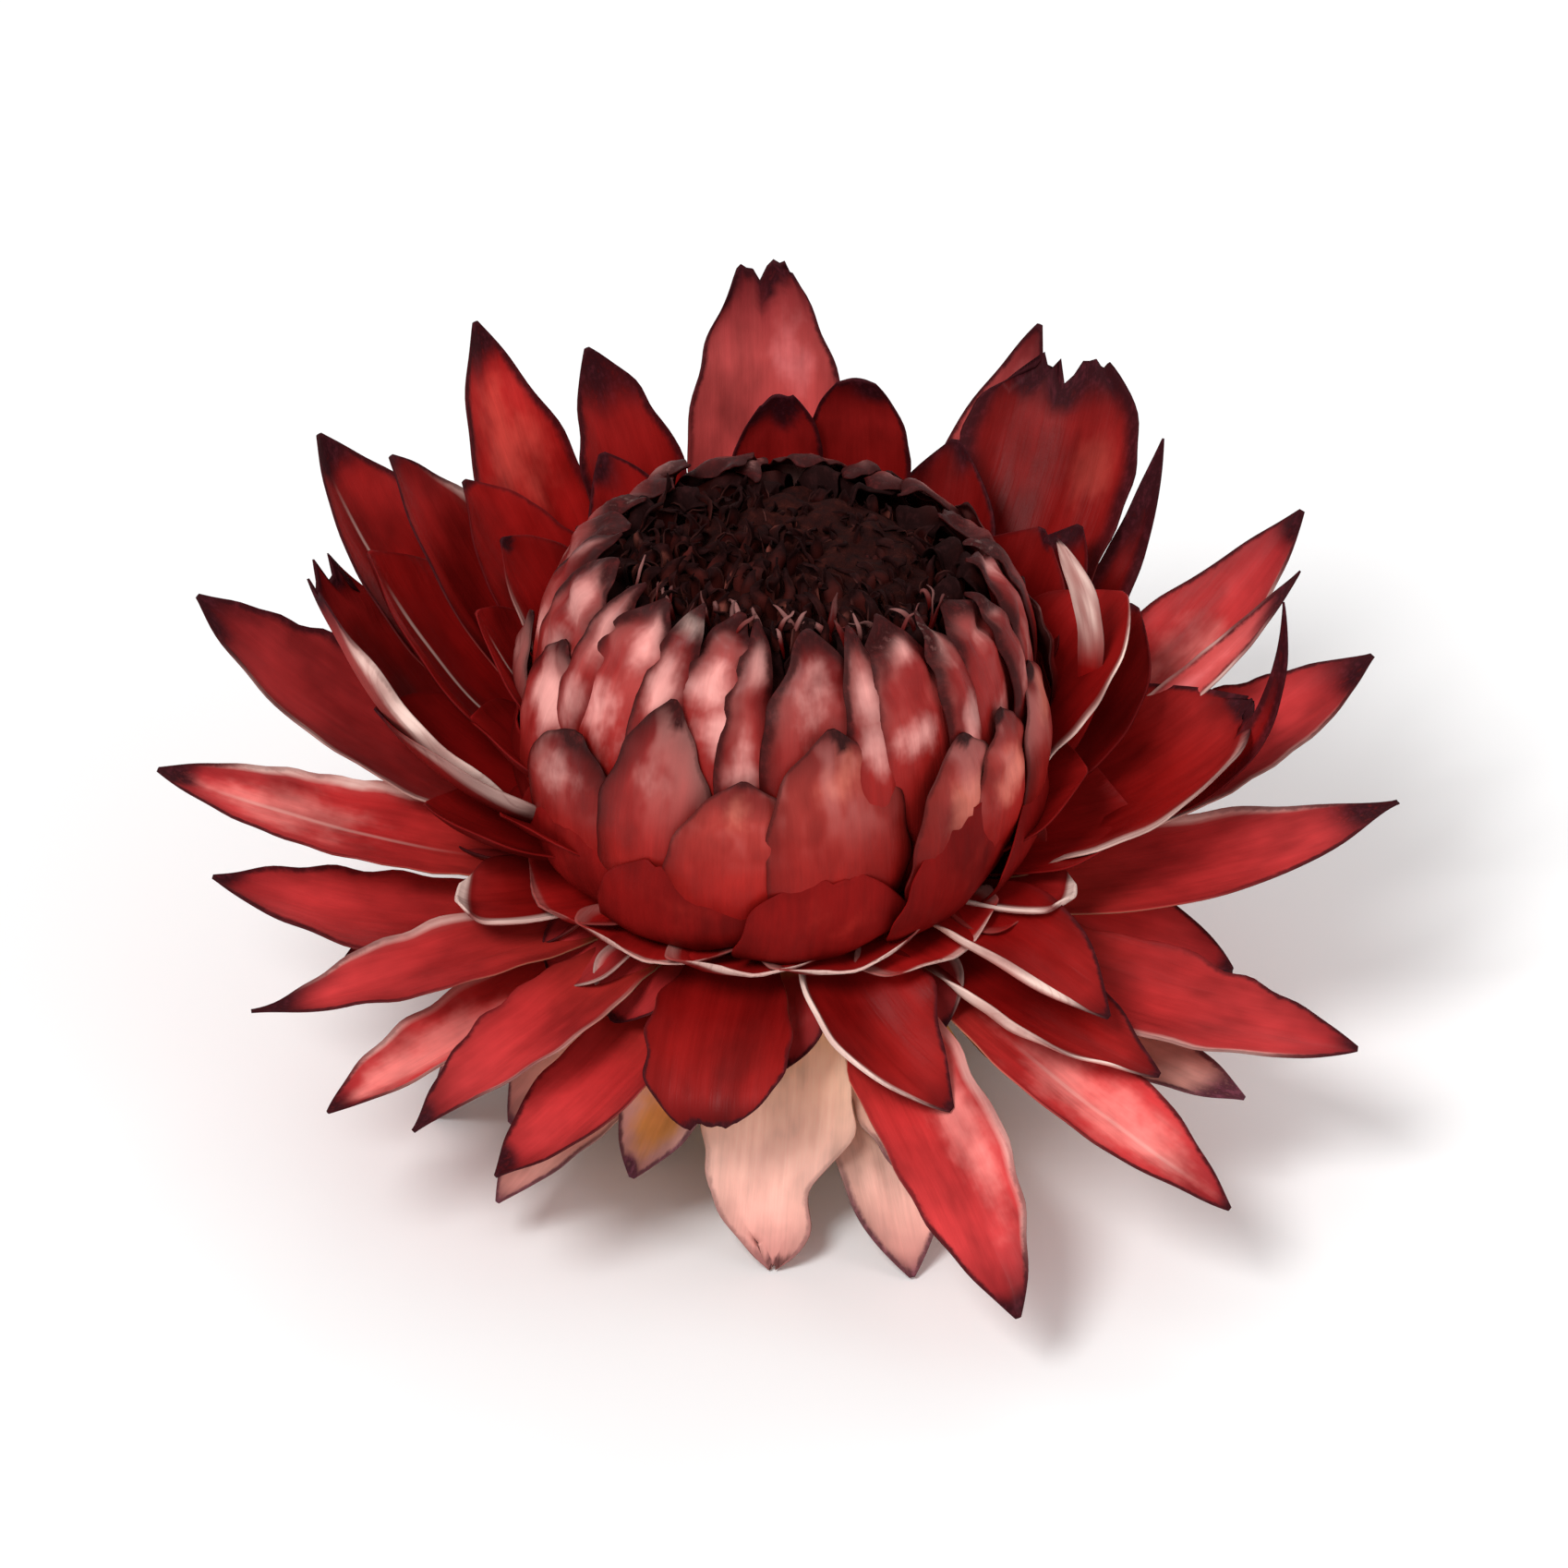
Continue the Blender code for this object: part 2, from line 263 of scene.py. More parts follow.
    # What the materials read
    edge = np.minimum((1 - np.abs(S)) * W, (1 - T) * length * 0.55)
    mottle = waves(seed + 10, 5, 1.5, 4.0)
    tipdark = look["tipdark"]
    dark = smooth(T + 0.035 * mottle(X * 1.5, T * length * 0.6), 1 - tipdark * 1.15, 1 - tipdark * 0.35) if tipdark else np.zeros_like(T)
    # pale rolled margins and ends: the paler underside showing, with a painted highlight along the curl
    pale = look["rim_r"] * smooth(S, look["rim_at"], look["rim_at"] + 0.12) + look["rim_l"] * smooth(-S, look["rim_at"], look["rim_at"] + 0.12)
    pale = pale * window * (0.8 + 0.25 * mottle(T * length, S * 3))
    pale = np.maximum(pale, look["tiprim"] * smooth(T, look["tiprim_at"], look["tiprim_at"] + 0.05))
    # painted highlight along a fold of the sheet, at or beside the midrib
    line = look["crease_at"] + 0.06 * mottle(T * 2.5, 3.0)
    fold = X - line * W
    folded = look["crease_highlight"] * smooth(T, 0.25, 0.5) * (1 - smooth(T, 0.75, 0.92))
    where, spread = look["painted_light_at"]
    off = look["painted_light_off"]
    glow = look["glow"] * np.exp(-(((T - where) / spread) ** 2) - ((S - off) / look["painted_light_w"]) ** 2)
    if look["painted_light_also"]:
        glow = np.maximum(glow, 0.85 * look["glow"] * np.exp(-(((T - look["painted_light_also"]) / spread) ** 2) - ((S + off) / look["painted_light_w"]) ** 2))
    frost = look["frost"] * smooth(T, 0.60, 0.86) * (1 - smooth(T, 0.93, 1.0))
    fields = dict(
        along=T, edge=edge, dark=dark, rim=np.clip(pale, 0, 1), fold=fold, folded=folded, glow=np.clip(glow, 0, 1), frost=frost,
        tone=np.full_like(T, look["tone"]), ink=np.full_like(T, look["ink"]), inkw=np.full_like(T, look["ink_w"]),
    )
    values = {k: np.concatenate([v.ravel(), v.ravel()]) for k, v in fields.items()}
    values["face"] = np.concatenate([np.ones(T.size), np.zeros(T.size)])
    sheet = np.stack([X.ravel(), (T * length).ravel(), np.full(T.size, (seed % 97) * 3.7)], 1)
    values["sheet"] = np.concatenate([sheet, sheet + [0, 0, 1.9]])
    return points, np.concatenate(quads), values


def make_piece(name, points, faces, values, material, slot):
    """A mesh object from points in mm about the head's axis, riding on the frame."""
    mesh = bpy.data.meshes.new(name)
    mesh.from_pydata(((points + AXIS) * MM).tolist(), [], faces.tolist() if hasattr(faces, "tolist") else faces)
    for key, value in values.items():
        if value.ndim == 2:
            layer = mesh.attributes.new(key, "FLOAT_VECTOR", "POINT")
            layer.data.foreach_set("vector", value.astype(np.float32).ravel())
        else:
            layer = mesh.attributes.new(key, "FLOAT", "POINT")
            layer.data.foreach_set("value", value.astype(np.float32))
    mesh.materials.append(material)
    mesh.shade_smooth()
    mesh.update()
    piece = bpy.data.objects.new(name, mesh)
    bpy.context.scene.collection.objects.link(piece)
    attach(piece, "root")
    return piece


# ------------------------------------------------------------------ materials
class Nodes:
    """Short names for the shader nodes that the materials are built from."""

    def __init__(self, name):
        self.material = bpy.data.materials.new(name)
        self.material.use_nodes = True
        self.tree = self.material.node_tree
        self.shader = self.tree.nodes["Principled BSDF"]

    def put(self, socket, value):
        if isinstance(value, bpy.types.NodeSocket):
            self.tree.links.new(value, socket)
        elif isinstance(value, tuple) and len(value) == 3 and socket.type == "RGBA":
            socket.default_value = (*value, 1)
        else:
            socket.default_value = value

    def read(self, name, vector=False):
        node = self.tree.nodes.new("ShaderNodeAttribute")
        node.attribute_name = name
        return node.outputs["Vector" if vector else "Fac"]

    def math(self, operation, a, b=0.0, clamp=False):
        node = self.tree.nodes.new("ShaderNodeMath")
        node.operation = operation
        node.use_clamp = clamp
        self.put(node.inputs[0], a)
        self.put(node.inputs[1], b)
        return node.outputs[0]

    def span(self, value, a, b, c=0.0, d=1.0):
        node = self.tree.nodes.new("ShaderNodeMapRange")
        node.interpolation_type = "SMOOTHSTEP"
        for socket, v in zip(node.inputs, (value, a, b, c, d)):
            self.put(socket, v)
        return node.outputs[0]

    def noise(self, vector, scale, size=1.0, detail=3.0, roughness=0.55):
        stretch = self.tree.nodes.new("ShaderNodeMapping")
        self.put(stretch.inputs["Vector"], vector)
        stretch.inputs["Scale"].default_value = scale
        node = self.tree.nodes.new("ShaderNodeTexNoise")
        self.put(node.inputs["Vector"], stretch.outputs[0])
        node.inputs["Scale"].default_value = size
        node.inputs["Detail"].default_value = detail
        node.inputs["Roughness"].default_value = roughness
        return node.outputs["Fac"]

    def ramp(self, value, stops):
        node = self.tree.nodes.new("ShaderNodeValToRGB")
        ramp = node.color_ramp
        while len(ramp.elements) < len(stops):
            ramp.elements.new(0.5)
        for element, (place, colour) in zip(ramp.elements, stops):
            element.position = place
            element.color = (*colour, 1) if isinstance(colour, tuple) else (colour, colour, colour, 1)
        self.put(node.inputs[0], value)
        return node.outputs[0]

    def mix(self, amount, a, b, how="MIX"):
        node = self.tree.nodes.new("ShaderNodeMix")
        node.data_type = "RGBA"
        node.blend_type = how
        self.put(node.inputs["Factor"], amount)
        ins = [i for i in node.inputs if i.type == "RGBA"]
        self.put(ins[0], a)
        self.put(ins[1], b)
        return [o for o in node.outputs if o.type == "RGBA"][0]

    def bump(self, height, strength, distance):
        node = self.tree.nodes.new("ShaderNodeBump")
        node.inputs["Strength"].default_value = strength
        node.inputs["Distance"].default_value = distance
        self.put(node.inputs["Height"], height)
        self.put(self.shader.inputs["Normal"], node.outputs[0])


INK = (0.028, 0.004, 0.006)
RIM_AND_HIGHLIGHT = (0.92, 0.66, 0.58)


def bract_material(name, inner, outer, glow, rough=(0.40, 0.56), rim=RIM_AND_HIGHLIGHT, ink=INK, frost=(0.50, 0.27, 0.25), gloss=0.05, shadow=0.22):
    """inner and outer are colours from the base of the bract to its tip; glow is the colour of the painted highlights
    and of light shining through.
    """
    n = Nodes(name)
    along, edge, face, sheet = n.read("along"), n.read("edge"), n.read("face"), n.read("sheet", True)
    fibre = n.noise(sheet, (11.0, 0.5, 1.0), detail=2.0)
    vein = n.noise(sheet, (2.6, 0.22, 1.0), detail=4.0, roughness=0.6)
    blotch = n.noise(sheet, (0.55, 0.30, 1.0), detail=3.0)
    speck = n.noise(sheet, (5.0, 3.0, 1.0), detail=4.0, roughness=0.65)

    place = n.math("ADD", along, n.math("MULTIPLY", n.math("SUBTRACT", vein, 0.5), 0.12))
    colour = n.mix(face, n.ramp(place, outer), n.ramp(place, inner))
    # painted highlights: patches of the lit colour, broken up by noise; then the bract's tone, lighter and darker
    # patches, and streaks along the bract
    patch = n.noise(sheet, (1.3, 0.8, 1.0), detail=3.0)
    patch = n.math("ADD", n.read("glow"), n.math("MULTIPLY", n.math("SUBTRACT", patch, 0.5), 0.9))
    colour = n.mix(n.math("MULTIPLY", n.span(patch, 0.20, 0.86), 0.90), colour, glow)
    colour = n.mix(1.0, colour, n.ramp(n.read("tone"), [(0.0, 0.42), (0.5, 0.96), (1.0, 1.65)]), "MULTIPLY")
    colour = n.mix(1.0, colour, n.ramp(blotch, [(0.30, 0.62), (0.50, 1.0), (0.72, 1.32)]), "MULTIPLY")
    colour = n.mix(1.0, colour, n.ramp(vein, [(0.32, 0.90), (0.50, 1.0), (0.70, 1.10)]), "MULTIPLY")
    colour = n.mix(0.16, colour, n.ramp(fibre, [(0.30, 0.72), (0.50, 1.0), (0.72, 1.25)]), "MULTIPLY")
    # painted shade: darker towards the margins, for the shaded valleys between overlapping bracts
    colour = n.mix(1.0, colour, n.ramp(n.math("DIVIDE", edge, 1.4, clamp=True), [(0.0, 1.0 - shadow), (0.55, 1.0), (1.0, 1.0)]), "MULTIPLY")
    # dried skin under the tip with its painted sheen, pale rolled rims and midrib creases with their painted
    # highlights, then the inky margin and tip
    colour = n.mix(n.math("MULTIPLY", n.read("frost"), n.span(blotch, 0.44, 0.58, 0.0, 1.0)), colour, frost)
    colour = n.mix(n.math("MULTIPLY", n.read("rim"), n.span(fibre, 0.25, 0.55, 0.70, 1.0)), colour, rim)
    colour = n.mix(n.math("MULTIPLY", n.read("folded"), n.span(n.math("ABSOLUTE", n.read("fold")), 0.02, 0.13, 1.0, 0.0)), colour, rim)
    ragged = n.math("ADD", edge, n.math("MULTIPLY", n.math("SUBTRACT", speck, 0.5), 0.22))
    ragged = n.math("DIVIDE", ragged, n.read("inkw"))
    line = n.span(ragged, 0.05, 0.19, 1.0, 0.0)
    line = n.math("MULTIPLY", line, n.read("ink"))
    line = n.math("MULTIPLY", line, n.span(along, 0.35, 0.78, 0.10, 1.0))
    line = n.math("MULTIPLY", line, n.math("SUBTRACT", 1.0, n.math("MULTIPLY", n.read("rim"), 0.9)))
    tip = n.math("MULTIPLY", n.read("dark"), n.span(speck, 0.28, 0.50, 0.72, 1.0))
    shade = n.math("MAXIMUM", n.math("MULTIPLY", line, 0.90), tip, clamp=True)
    colour = n.mix(shade, colour, n.mix(n.span(speck, 0.45, 0.75), ink, tuple(min(c * 2.6, 1) for c in ink)))
    n.put(n.shader.inputs["Base Color"], colour)

    rougher = n.math("ADD", n.math("MULTIPLY", n.math("SUBTRACT", vein, 0.5), 0.30), n.math("MULTIPLY", shade, 0.20))
    base = n.span(face, 0.0, 1.0, rough[1], rough[0])
    n.put(n.shader.inputs["Roughness"], n.math("ADD", base, rougher, clamp=True))
    n.shader.inputs["Specular IOR Level"].default_value = gloss
    height = n.math("ADD", n.math("MULTIPLY", vein, 0.9), n.math("ADD", n.math("MULTIPLY", fibre, 0.30), n.math("MULTIPLY", speck, 0.25)))
    n.bump(height, 0.45, 0.00006)
    return n.material


# The crimson blades are darker low down and brighter towards the tip: partly their own colour, partly painted shade in
# the hollow of the bowl.
CRIMSON = bract_material(
    "crimson_bract",
    inner=[(0.0, (0.40, 0.06, 0.020)), (0.12, (0.28, 0.007, 0.006)), (0.42, (0.26, 0.0050, 0.0045)), (0.66, (0.31, 0.0080, 0.0070)), (0.86, (0.38, 0.015, 0.014)), (1.0, (0.16, 0.005, 0.006))],
    outer=[(0.0, (0.80, 0.55, 0.25)), (0.16, (0.66, 0.24, 0.13)), (0.45, (0.50, 0.085, 0.070)), (0.80, (0.44, 0.060, 0.055)), (1.0, (0.18, 0.015, 0.018))],
    glow=(0.56, 0.055, 0.042),
)
ROSY = bract_material(
    "rosy_bract",
    inner=[(0.0, (0.50, 0.12, 0.04)), (0.14, (0.42, 0.035, 0.022)), (0.45, (0.42, 0.045, 0.042)), (0.80, (0.46, 0.065, 0.062)), (1.0, (0.16, 0.010, 0.014))],
    outer=[(0.0, (0.80, 0.55, 0.25)), (0.16, (0.66, 0.26, 0.16)), (0.45, (0.56, 0.13, 0.12)), (0.80, (0.50, 0.10, 0.10)), (1.0, (0.18, 0.015, 0.020))],
    glow=(0.64, 0.16, 0.16),
)
RED = bract_material(
    "red_bract",
    inner=[(0.0, (0.58, 0.20, 0.06)), (0.14, (0.40, 0.024, 0.018)), (0.45, (0.40, 0.022, 0.022)), (0.80, (0.46, 0.034, 0.035)), (1.0, (0.20, 0.010, 0.013))],
    outer=[(0.0, (0.85, 0.62, 0.28)), (0.18, (0.72, 0.34, 0.20)), (0.50, (0.62, 0.15, 0.12)), (0.85, (0.54, 0.10, 0.085)), (1.0, (0.22, 0.03, 0.035))],
    glow=(0.70, 0.19, 0.17),
)
ROSE = bract_material(
    "rose_bract",
    inner=[(0.0, (0.34, 0.02, 0.015)), (0.5, (0.26, 0.009, 0.008)), (1.0, (0.10, 0.005, 0.005))],
    outer=[(0.0, (0.20, 0.005, 0.004)), (0.30, (0.22, 0.006, 0.005)), (0.55, (0.25, 0.010, 0.008)), (0.75, (0.27, 0.017, 0.015)), (0.90, (0.23, 0.017, 0.016)), (0.97, (0.10, 0.008, 0.008)), (1.0, (0.035, 0.004, 0.004))],
    glow=(0.72, 0.31, 0.28), rough=(0.42, 0.40), gloss=0.10, shadow=0.72, ink=(0.030, 0.003, 0.003), frost=(0.55, 0.26, 0.23),
)
CORAL = bract_material(
    "coral_bract",
    inner=[(0.0, (0.34, 0.02, 0.015)), (0.5, (0.26, 0.009, 0.008)), (1.0, (0.10, 0.005, 0.005))],
    outer=[(0.0, (0.18, 0.004, 0.004)), (0.45, (0.21, 0.005, 0.004)), (0.66, (0.28, 0.012, 0.009)), (0.85, (0.34, 0.035, 0.028)), (0.95, (0.24, 0.024, 0.021)), (1.0, (0.10, 0.010, 0.010))],
    glow=(0.66, 0.17, 0.12), rough=(0.42, 0.40), gloss=0.10, shadow=0.45, ink=(0.022, 0.003, 0.003), frost=(0.50, 0.22, 0.20),
)
# Deep crimson inside; the outer face is painted dark too, painted shade for bracts whose backs face into the shaded
# bowl and for the shaded foot of the bud.
DEEP_SHADED = bract_material(
    "deep_shaded_bract",
    inner=[(0.0, (0.38, 0.020, 0.012)), (0.14, (0.32, 0.0072, 0.006)), (0.5, (0.32, 0.0062, 0.0056)), (1.0, (0.37, 0.011, 0.010))],
    outer=[(0.0, (0.17, 0.0045, 0.004)), (0.5, (0.15, 0.0035, 0.003)), (1.0, (0.19, 0.005, 0.0045))],
    glow=(0.34, 0.018, 0.013), shadow=0.15,
)
PALE = bract_material(
    "pale_bract",
    inner=[(0.0, (0.86, 0.62, 0.28)), (0.20, (0.85, 0.55, 0.38)), (0.6, (0.80, 0.47, 0.38)), (1.0, (0.60, 0.24, 0.21))],
    outer=[(0.0, (0.86, 0.66, 0.30)), (0.25, (0.86, 0.58, 0.40)), (0.65, (0.82, 0.46, 0.36)), (1.0, (0.60, 0.22, 0.18))],
    glow=(0.84, 0.36, 0.08), rough=(0.48, 0.60), ink=(0.075, 0.022, 0.032),
)
AMBER = bract_material(
    "amber_bract",
    inner=[(0.0, (0.80, 0.58, 0.24)), (0.5, (0.74, 0.42, 0.13)), (1.0, (0.55, 0.20, 0.06))],
    outer=[(0.0, (0.84, 0.66, 0.30)), (0.4, (0.80, 0.50, 0.17)), (0.75, (0.72, 0.34, 0.10)), (1.0, (0.42, 0.12, 0.05))],
    glow=(0.85, 0.45, 0.12), rough=(0.48, 0.58), ink=(0.14, 0.05, 0.03),
)
DEAD = bract_material(
    "dried_florets",
    inner=[(0.0, (0.070, 0.010, 0.007)), (0.5, (0.042, 0.006, 0.005)), (1.0, (0.022, 0.004, 0.0035))],
    outer=[(0.0, (0.075, 0.012, 0.009)), (0.6, (0.045, 0.007, 0.0055)), (1.0, (0.022, 0.004, 0.0035))],
    glow=(0.26, 0.070, 0.052), rough=(0.55, 0.60), ink=(0.010, 0.0025, 0.0025), rim=(0.17, 0.055, 0.045), gloss=0.04, shadow=0.3,
)
KINDS = {
    "cup": (CRIMSON, "crimson_bract"),
    "rosy": (ROSY, "crimson_bract"),
    "deep_shaded": (DEEP_SHADED, "crimson_bract"),
    "coral": (CORAL, "rose_bract"),
    "ring": (RED, "red_bract"),
    "bud": (ROSE, "rose_bract"),
    "skirt": (PALE, "pale_bract"),
    "base": (AMBER, "amber_bract"),
    "dead": (DEAD, "dried_florets"),
}

# ------------------------------------------------------- the bracts of the CAD
# (azimuth, sweep, reach, rise, launch, width, widest, channel, roll, layer, tip), its own look
CUP = [
    ((94.0, 1.2, 13.2, 11.4, 35, 5.1, 0.50, 20, 10, 0.0, "N"), dict(skin="rosy", tone=0.52, notch=0.045, glow=0.6, painted_light_at=(0.80, 0.12), painted_light_off=-0.4, painted_light_w=0.4, vee=0.9, pleats=2, pleat=12, torn=0.015, tipdark=0.05, ink_w=1.3)),
    ((112.5, 3, 13.0, 9.2, 35, 3.6, 0.50, 22, 10, 0.5, "P"), dict(tone=0.36, tipdark=0.17, vee=0.3, ink_w=1.9, taper=3.2)),
    ((131, -3, 15.3, 9.8, 25, 4.4, 0.50, 22, 10, 0.0, "P"), dict(tone=0.64, glow=0.8, painted_light_at=(0.74, 0.16), ink_w=2.0, tipdark=0.10, hook=14, taper=2.4)),
    ((154.5, -4, 16.0, 8.8, 20, 6.5, 0.50, 25, 8, 0.3, "P"), dict(tone=0.42, vee=0.8, ink_w=1.9, tipdark=0.08, hook=12, taper=2.5, crease_highlight=0.55, crease_at=0.15)),
    ((178, -12, 14.6, 7.6, 9, 8.0, 0.52, 28, 14, 0.0, "N"), dict(tone=0.33, notch=0.05, pleats=4, pleat=10, torn=0.06, rim_r=1.0, roll_r=60, tipdark=0.06, claw=0.7)),
    ((-156, -5, 10.2, 0.15, 0, 3.3, 0.66, 26, -4, 0.2, "B"), dict(tone=0.30, hook=34, hook_from=0.80, tiprim=0.85, tiprim_at=0.915, rim_r=0.85, roll_r=20, rim_at=0.74, tipdark=0.0, ink=0.1, taper=3.4, thick=0.26, ripple=0.02, pleat=4)),
    ((-103, 2, 10.9, -2.3, -5, 4.4, 0.60, 20, 0, 0.4, "B"), dict(tone=0.27, torn=0.02, pleats=2, pleat=7, hook=-22, tipdark=0.02, ink_w=0.7)),
    ((-78, 13, 10.9, -2.4, -10, 4.2, 0.50, 25, 0, 0.0, "P"), dict(tone=0.30, rim_l=1.0, roll_l=80, roll_t=(0.05, 0.98), vee=0.7, tipdark=0.03, taper=1.5, rim_at=0.74, lop=0.25, pleats=2)),
    ((-44, 6, 13.8, -2.2, -12, 4.2, 0.50, 25, 0, 0.6, "P"), dict(tone=0.30, rim_l=1.0, roll_l=75, roll_t=(0.15, 0.98), vee=0.5, tipdark=0.04, taper=1.6, rim_at=0.76)),
    ((-42, 2, 12.2, -0.6, 8, 4.0, 0.50, 30, 0, -0.3, "P"), dict(tone=0.28, rim_l=1.0, roll_l=95, roll_t=(0.15, 0.98), vee=0.4, tipdark=0.03, taper=1.7, rim_at=0.78)),
    ((-3, 14, 14.0, 3.2, 10, 6.6, 0.50, 28, 8, 0.0, "P"), dict(tone=0.34, pleats=4, pleat=8, torn=0.03, rim_l=0.8, roll_l=25, taper=2.8, tipdark=0.06, ink_w=1.5, claw=0.8)),
    ((33, 4, 14.3, 7.9, 14, 1.5, 0.50, 35, 12, 0.6, "P"), dict(tone=0.05, tipdark=0.30, ink_w=3.0, twist=25)),
    ((45, 8, 14.7, 8.7, 30, 5.7, 0.80, 20, 10, 0.0, "N"), dict(tone=0.14, notch=0.0, torn=0.035, pleats=3, pleat=14, tipdark=0.11, ink_w=4.0, claw=0.6, glow=0.9, painted_light_at=(0.76, 0.09), painted_light_w=0.3, painted_light_off=-0.45)),
    ((62, -2, 15.3, 8.8, 15, 4.0, 0.50, 22, 10, 0.5, "P"), dict(skin="rosy", tone=0.50, glow=0.5, painted_light_at=(0.86, 0.12), tipdark=0.06, vee=0.7, twist=-20)),
]
FULL = 2.6   # the ring's bracts keep their width longer before they narrow
RING = [
    ((-10, 13, 18.1, 0.35, 8, 3.8, 0.45, 26, 8, 0.4, "P"), dict(drawn=1.5, tipdark=0.20, hook=-8, rim_r=0.5, roll_r=25, tone=0.55)),
    ((7, 7.5, 18.1, 2.75, 8, 4.5, 0.48, 26, 8, 0.0, "P"), dict(drawn=1.15, tipdark=0.14, tone=0.50, vee=0.7, rim_l=0.4, roll_l=25)),
    ((24, 8, 17.6, 5.4, 12, 4.4, 0.38, 28, 8, 0.3, "P"), dict(tipdark=0.08, tone=0.56, glow=0.5, painted_light_at=(0.6, 0.2), vee=0.8, rim_l=0.9, roll_l=30, claw=0.8)),
    ((60, 2, 16.8, 1.6, 8, 3.8, 0.45, 25, 8, 0.0, "P"), dict(tone=0.55)),
    ((90, 0, 17.0, 1.2, 8, 3.8, 0.45, 25, 8, 0.0, "P"), dict(tone=0.48, twist=12)),
    ((120, -2, 17.0, 1.4, 8, 3.8, 0.45, 25, 8, 0.0, "P"), dict(tone=0.58, hook=15)),
    ((167, -2, 17.9, 5.3, 12, 4.4, 0.50, 24, -8, 0.0, "P"), dict(tone=0.28, ink_w=1.9, tipdark=0.10, rim_r=0.5, roll_r=20)),
    ((-177.5, -5, 18.4, 2.1, 8, 3.8, 0.50, 24, -2, 0.1, "P"), dict(tone=0.66, glow=0.7, painted_light_at=(0.72, 0.25), rim_l=0.9, roll_l=30, tipdark=0.06, crease_highlight=0.26)),
    ((-165, -7, 16.9, 0.3, -6, 3.8, 0.50, 24, -4, 0.7, "P"), dict(tone=0.46, tipdark=0.08, ink_w=1.6)),
    ((-151, -7, 16.8, -1.6, 4, 3.2, 0.45, 26, 0, 0.0, "P"), dict(tone=0.50, drawn=1.7, tipdark=0.22, hook=10, rim_l=0.5, roll_l=25)),
    ((-147, 4, 16.6, -2.3, -12, 3.0, 0.45, 28, 4, 0.7, "P"), dict(tone=0.70, glow=0.9, painted_light_at=(0.66, 0.35), vee=0.95, pleat=4, rim_r=0.5, rim_l=0.4, roll_r=20, tipdark=0.10)),
    ((-132, -2, 15.3, -2.2, 2, 3.4, 0.45, 28, 8, 0.0, "P"), dict(tone=0.52, tipdark=0.12, drawn=1.3, hook=-12, rim_r=0.3)),
    ((-119, -5, 14.6, -3.1, -14, 3.4, 0.45, 28, 8, 0.5, "P"), dict(tone=0.56, tipdark=0.10)),
    ((-68, 2, 16.6, -5.8, -15, 3.8, 0.45, 25, 4, 0.0, "P"), dict(tone=0.72, vee=0.8, tipdark=0.06, glow=0.8, painted_light_at=(0.48, 0.32), painted_light_off=0.45, painted_light_w=0.45, rim_r=0.5)),
    ((-46.5, 3, 17.5, -4.5, -12, 3.4, 0.45, 28, 4, 0.2, "P"), dict(tone=0.76, glow=0.8, painted_light_at=(0.65, 0.4), vee=0.9, tipdark=0.05, crease_highlight=0.22)),
    ((-27, 7.5, 18.0, -2.75, -9, 4.0, 0.45, 25, 6, 0.6, "P"), dict(tone=0.52, vee=0.7, tipdark=0.08, rim_l=0.5, roll_l=20)),
]
RING = [(row, {"taper": FULL, **look}) for row, look in RING]
SKIRT = [
    ((-89.5, -2, 9.8, -8.4, -45, 4.6, 0.50, 20, 4, 0.0, "P"), dict(torn=0.03, taper=2.6, cut=0.55, tone=0.70, ink=0.55, tipdark=0.0, glow=0.8, painted_light_at=(0.0, 0.25), pleats=4)),
    ((-67, -1, 10.8, -8.4, -50, 3.4, 0.50, 22, 8, 0.6, "P"), dict(tone=0.52, tipdark=0.10, ink_w=1.4)),
    ((-113, -3, 10.0, -5.6, -20, 3.2, 0.45, 22, 4, 0.0, "P"), dict(tone=0.55, glow=0.9, painted_light_at=(0.72, 0.2), tipdark=0.05)),
    ((-132, 1, 12.2, -6.6, -40, 3.2, 0.45, 22, 4, 0.6, "P"), dict(tone=0.60, tipdark=0.08)),
    ((-27, 0, 15.3, -4.0, -20, 3.2, 0.45, 22, 4, 0.0, "P"), dict(tone=0.50, tipdark=0.12, ink_w=1.3)),
    ((20, 0, 11.0, -8.4, -45, 4.2, 0.50, 20, 4, 0.0, "P"), dict(tone=0.58)),
    ((62, 0, 10.8, -8.4, -45, 4.2, 0.50, 20, 4, 0.0, "P"), dict(tone=0.50, torn=0.05)),
    ((104, 0, 11.0, -8.4, -45, 4.2, 0.50, 20, 4, 0.0, "P"), dict(tone=0.60)),
    ((148, 0, 10.8, -8.4, -45, 4.2, 0.50, 20, 4, 0.0, "P"), dict(tone=0.52)),
    ((-166, 0, 10.8, -8.4, -45, 4.2, 0.50, 20, 4, 0.0, "P"), dict(tone=0.57, torn=0.04)),
]
BASE = [((-56 + 72 * i, 0, 6.2, -8.0, -40, 3.2, 0.55, 20, 0, 0.0, "P"), dict(tone=0.5 + 0.06 * (i % 3), rows=28, cols=13)) for i in range(5)]


def crown_edge(azimuth, shrink=0.0):
    """Radius and height of the crown's edge: it is wider than deep and leans back a little."""
    angle = math.radians(azimuth)
    radius = 4.15 + 1.0 * math.cos(angle) ** 2 + 0.25 * math.cos(angle) - shrink
    return radius, 10.78 - radius * (0.11 * math.sin(angle) + 0.09 * math.cos(angle))


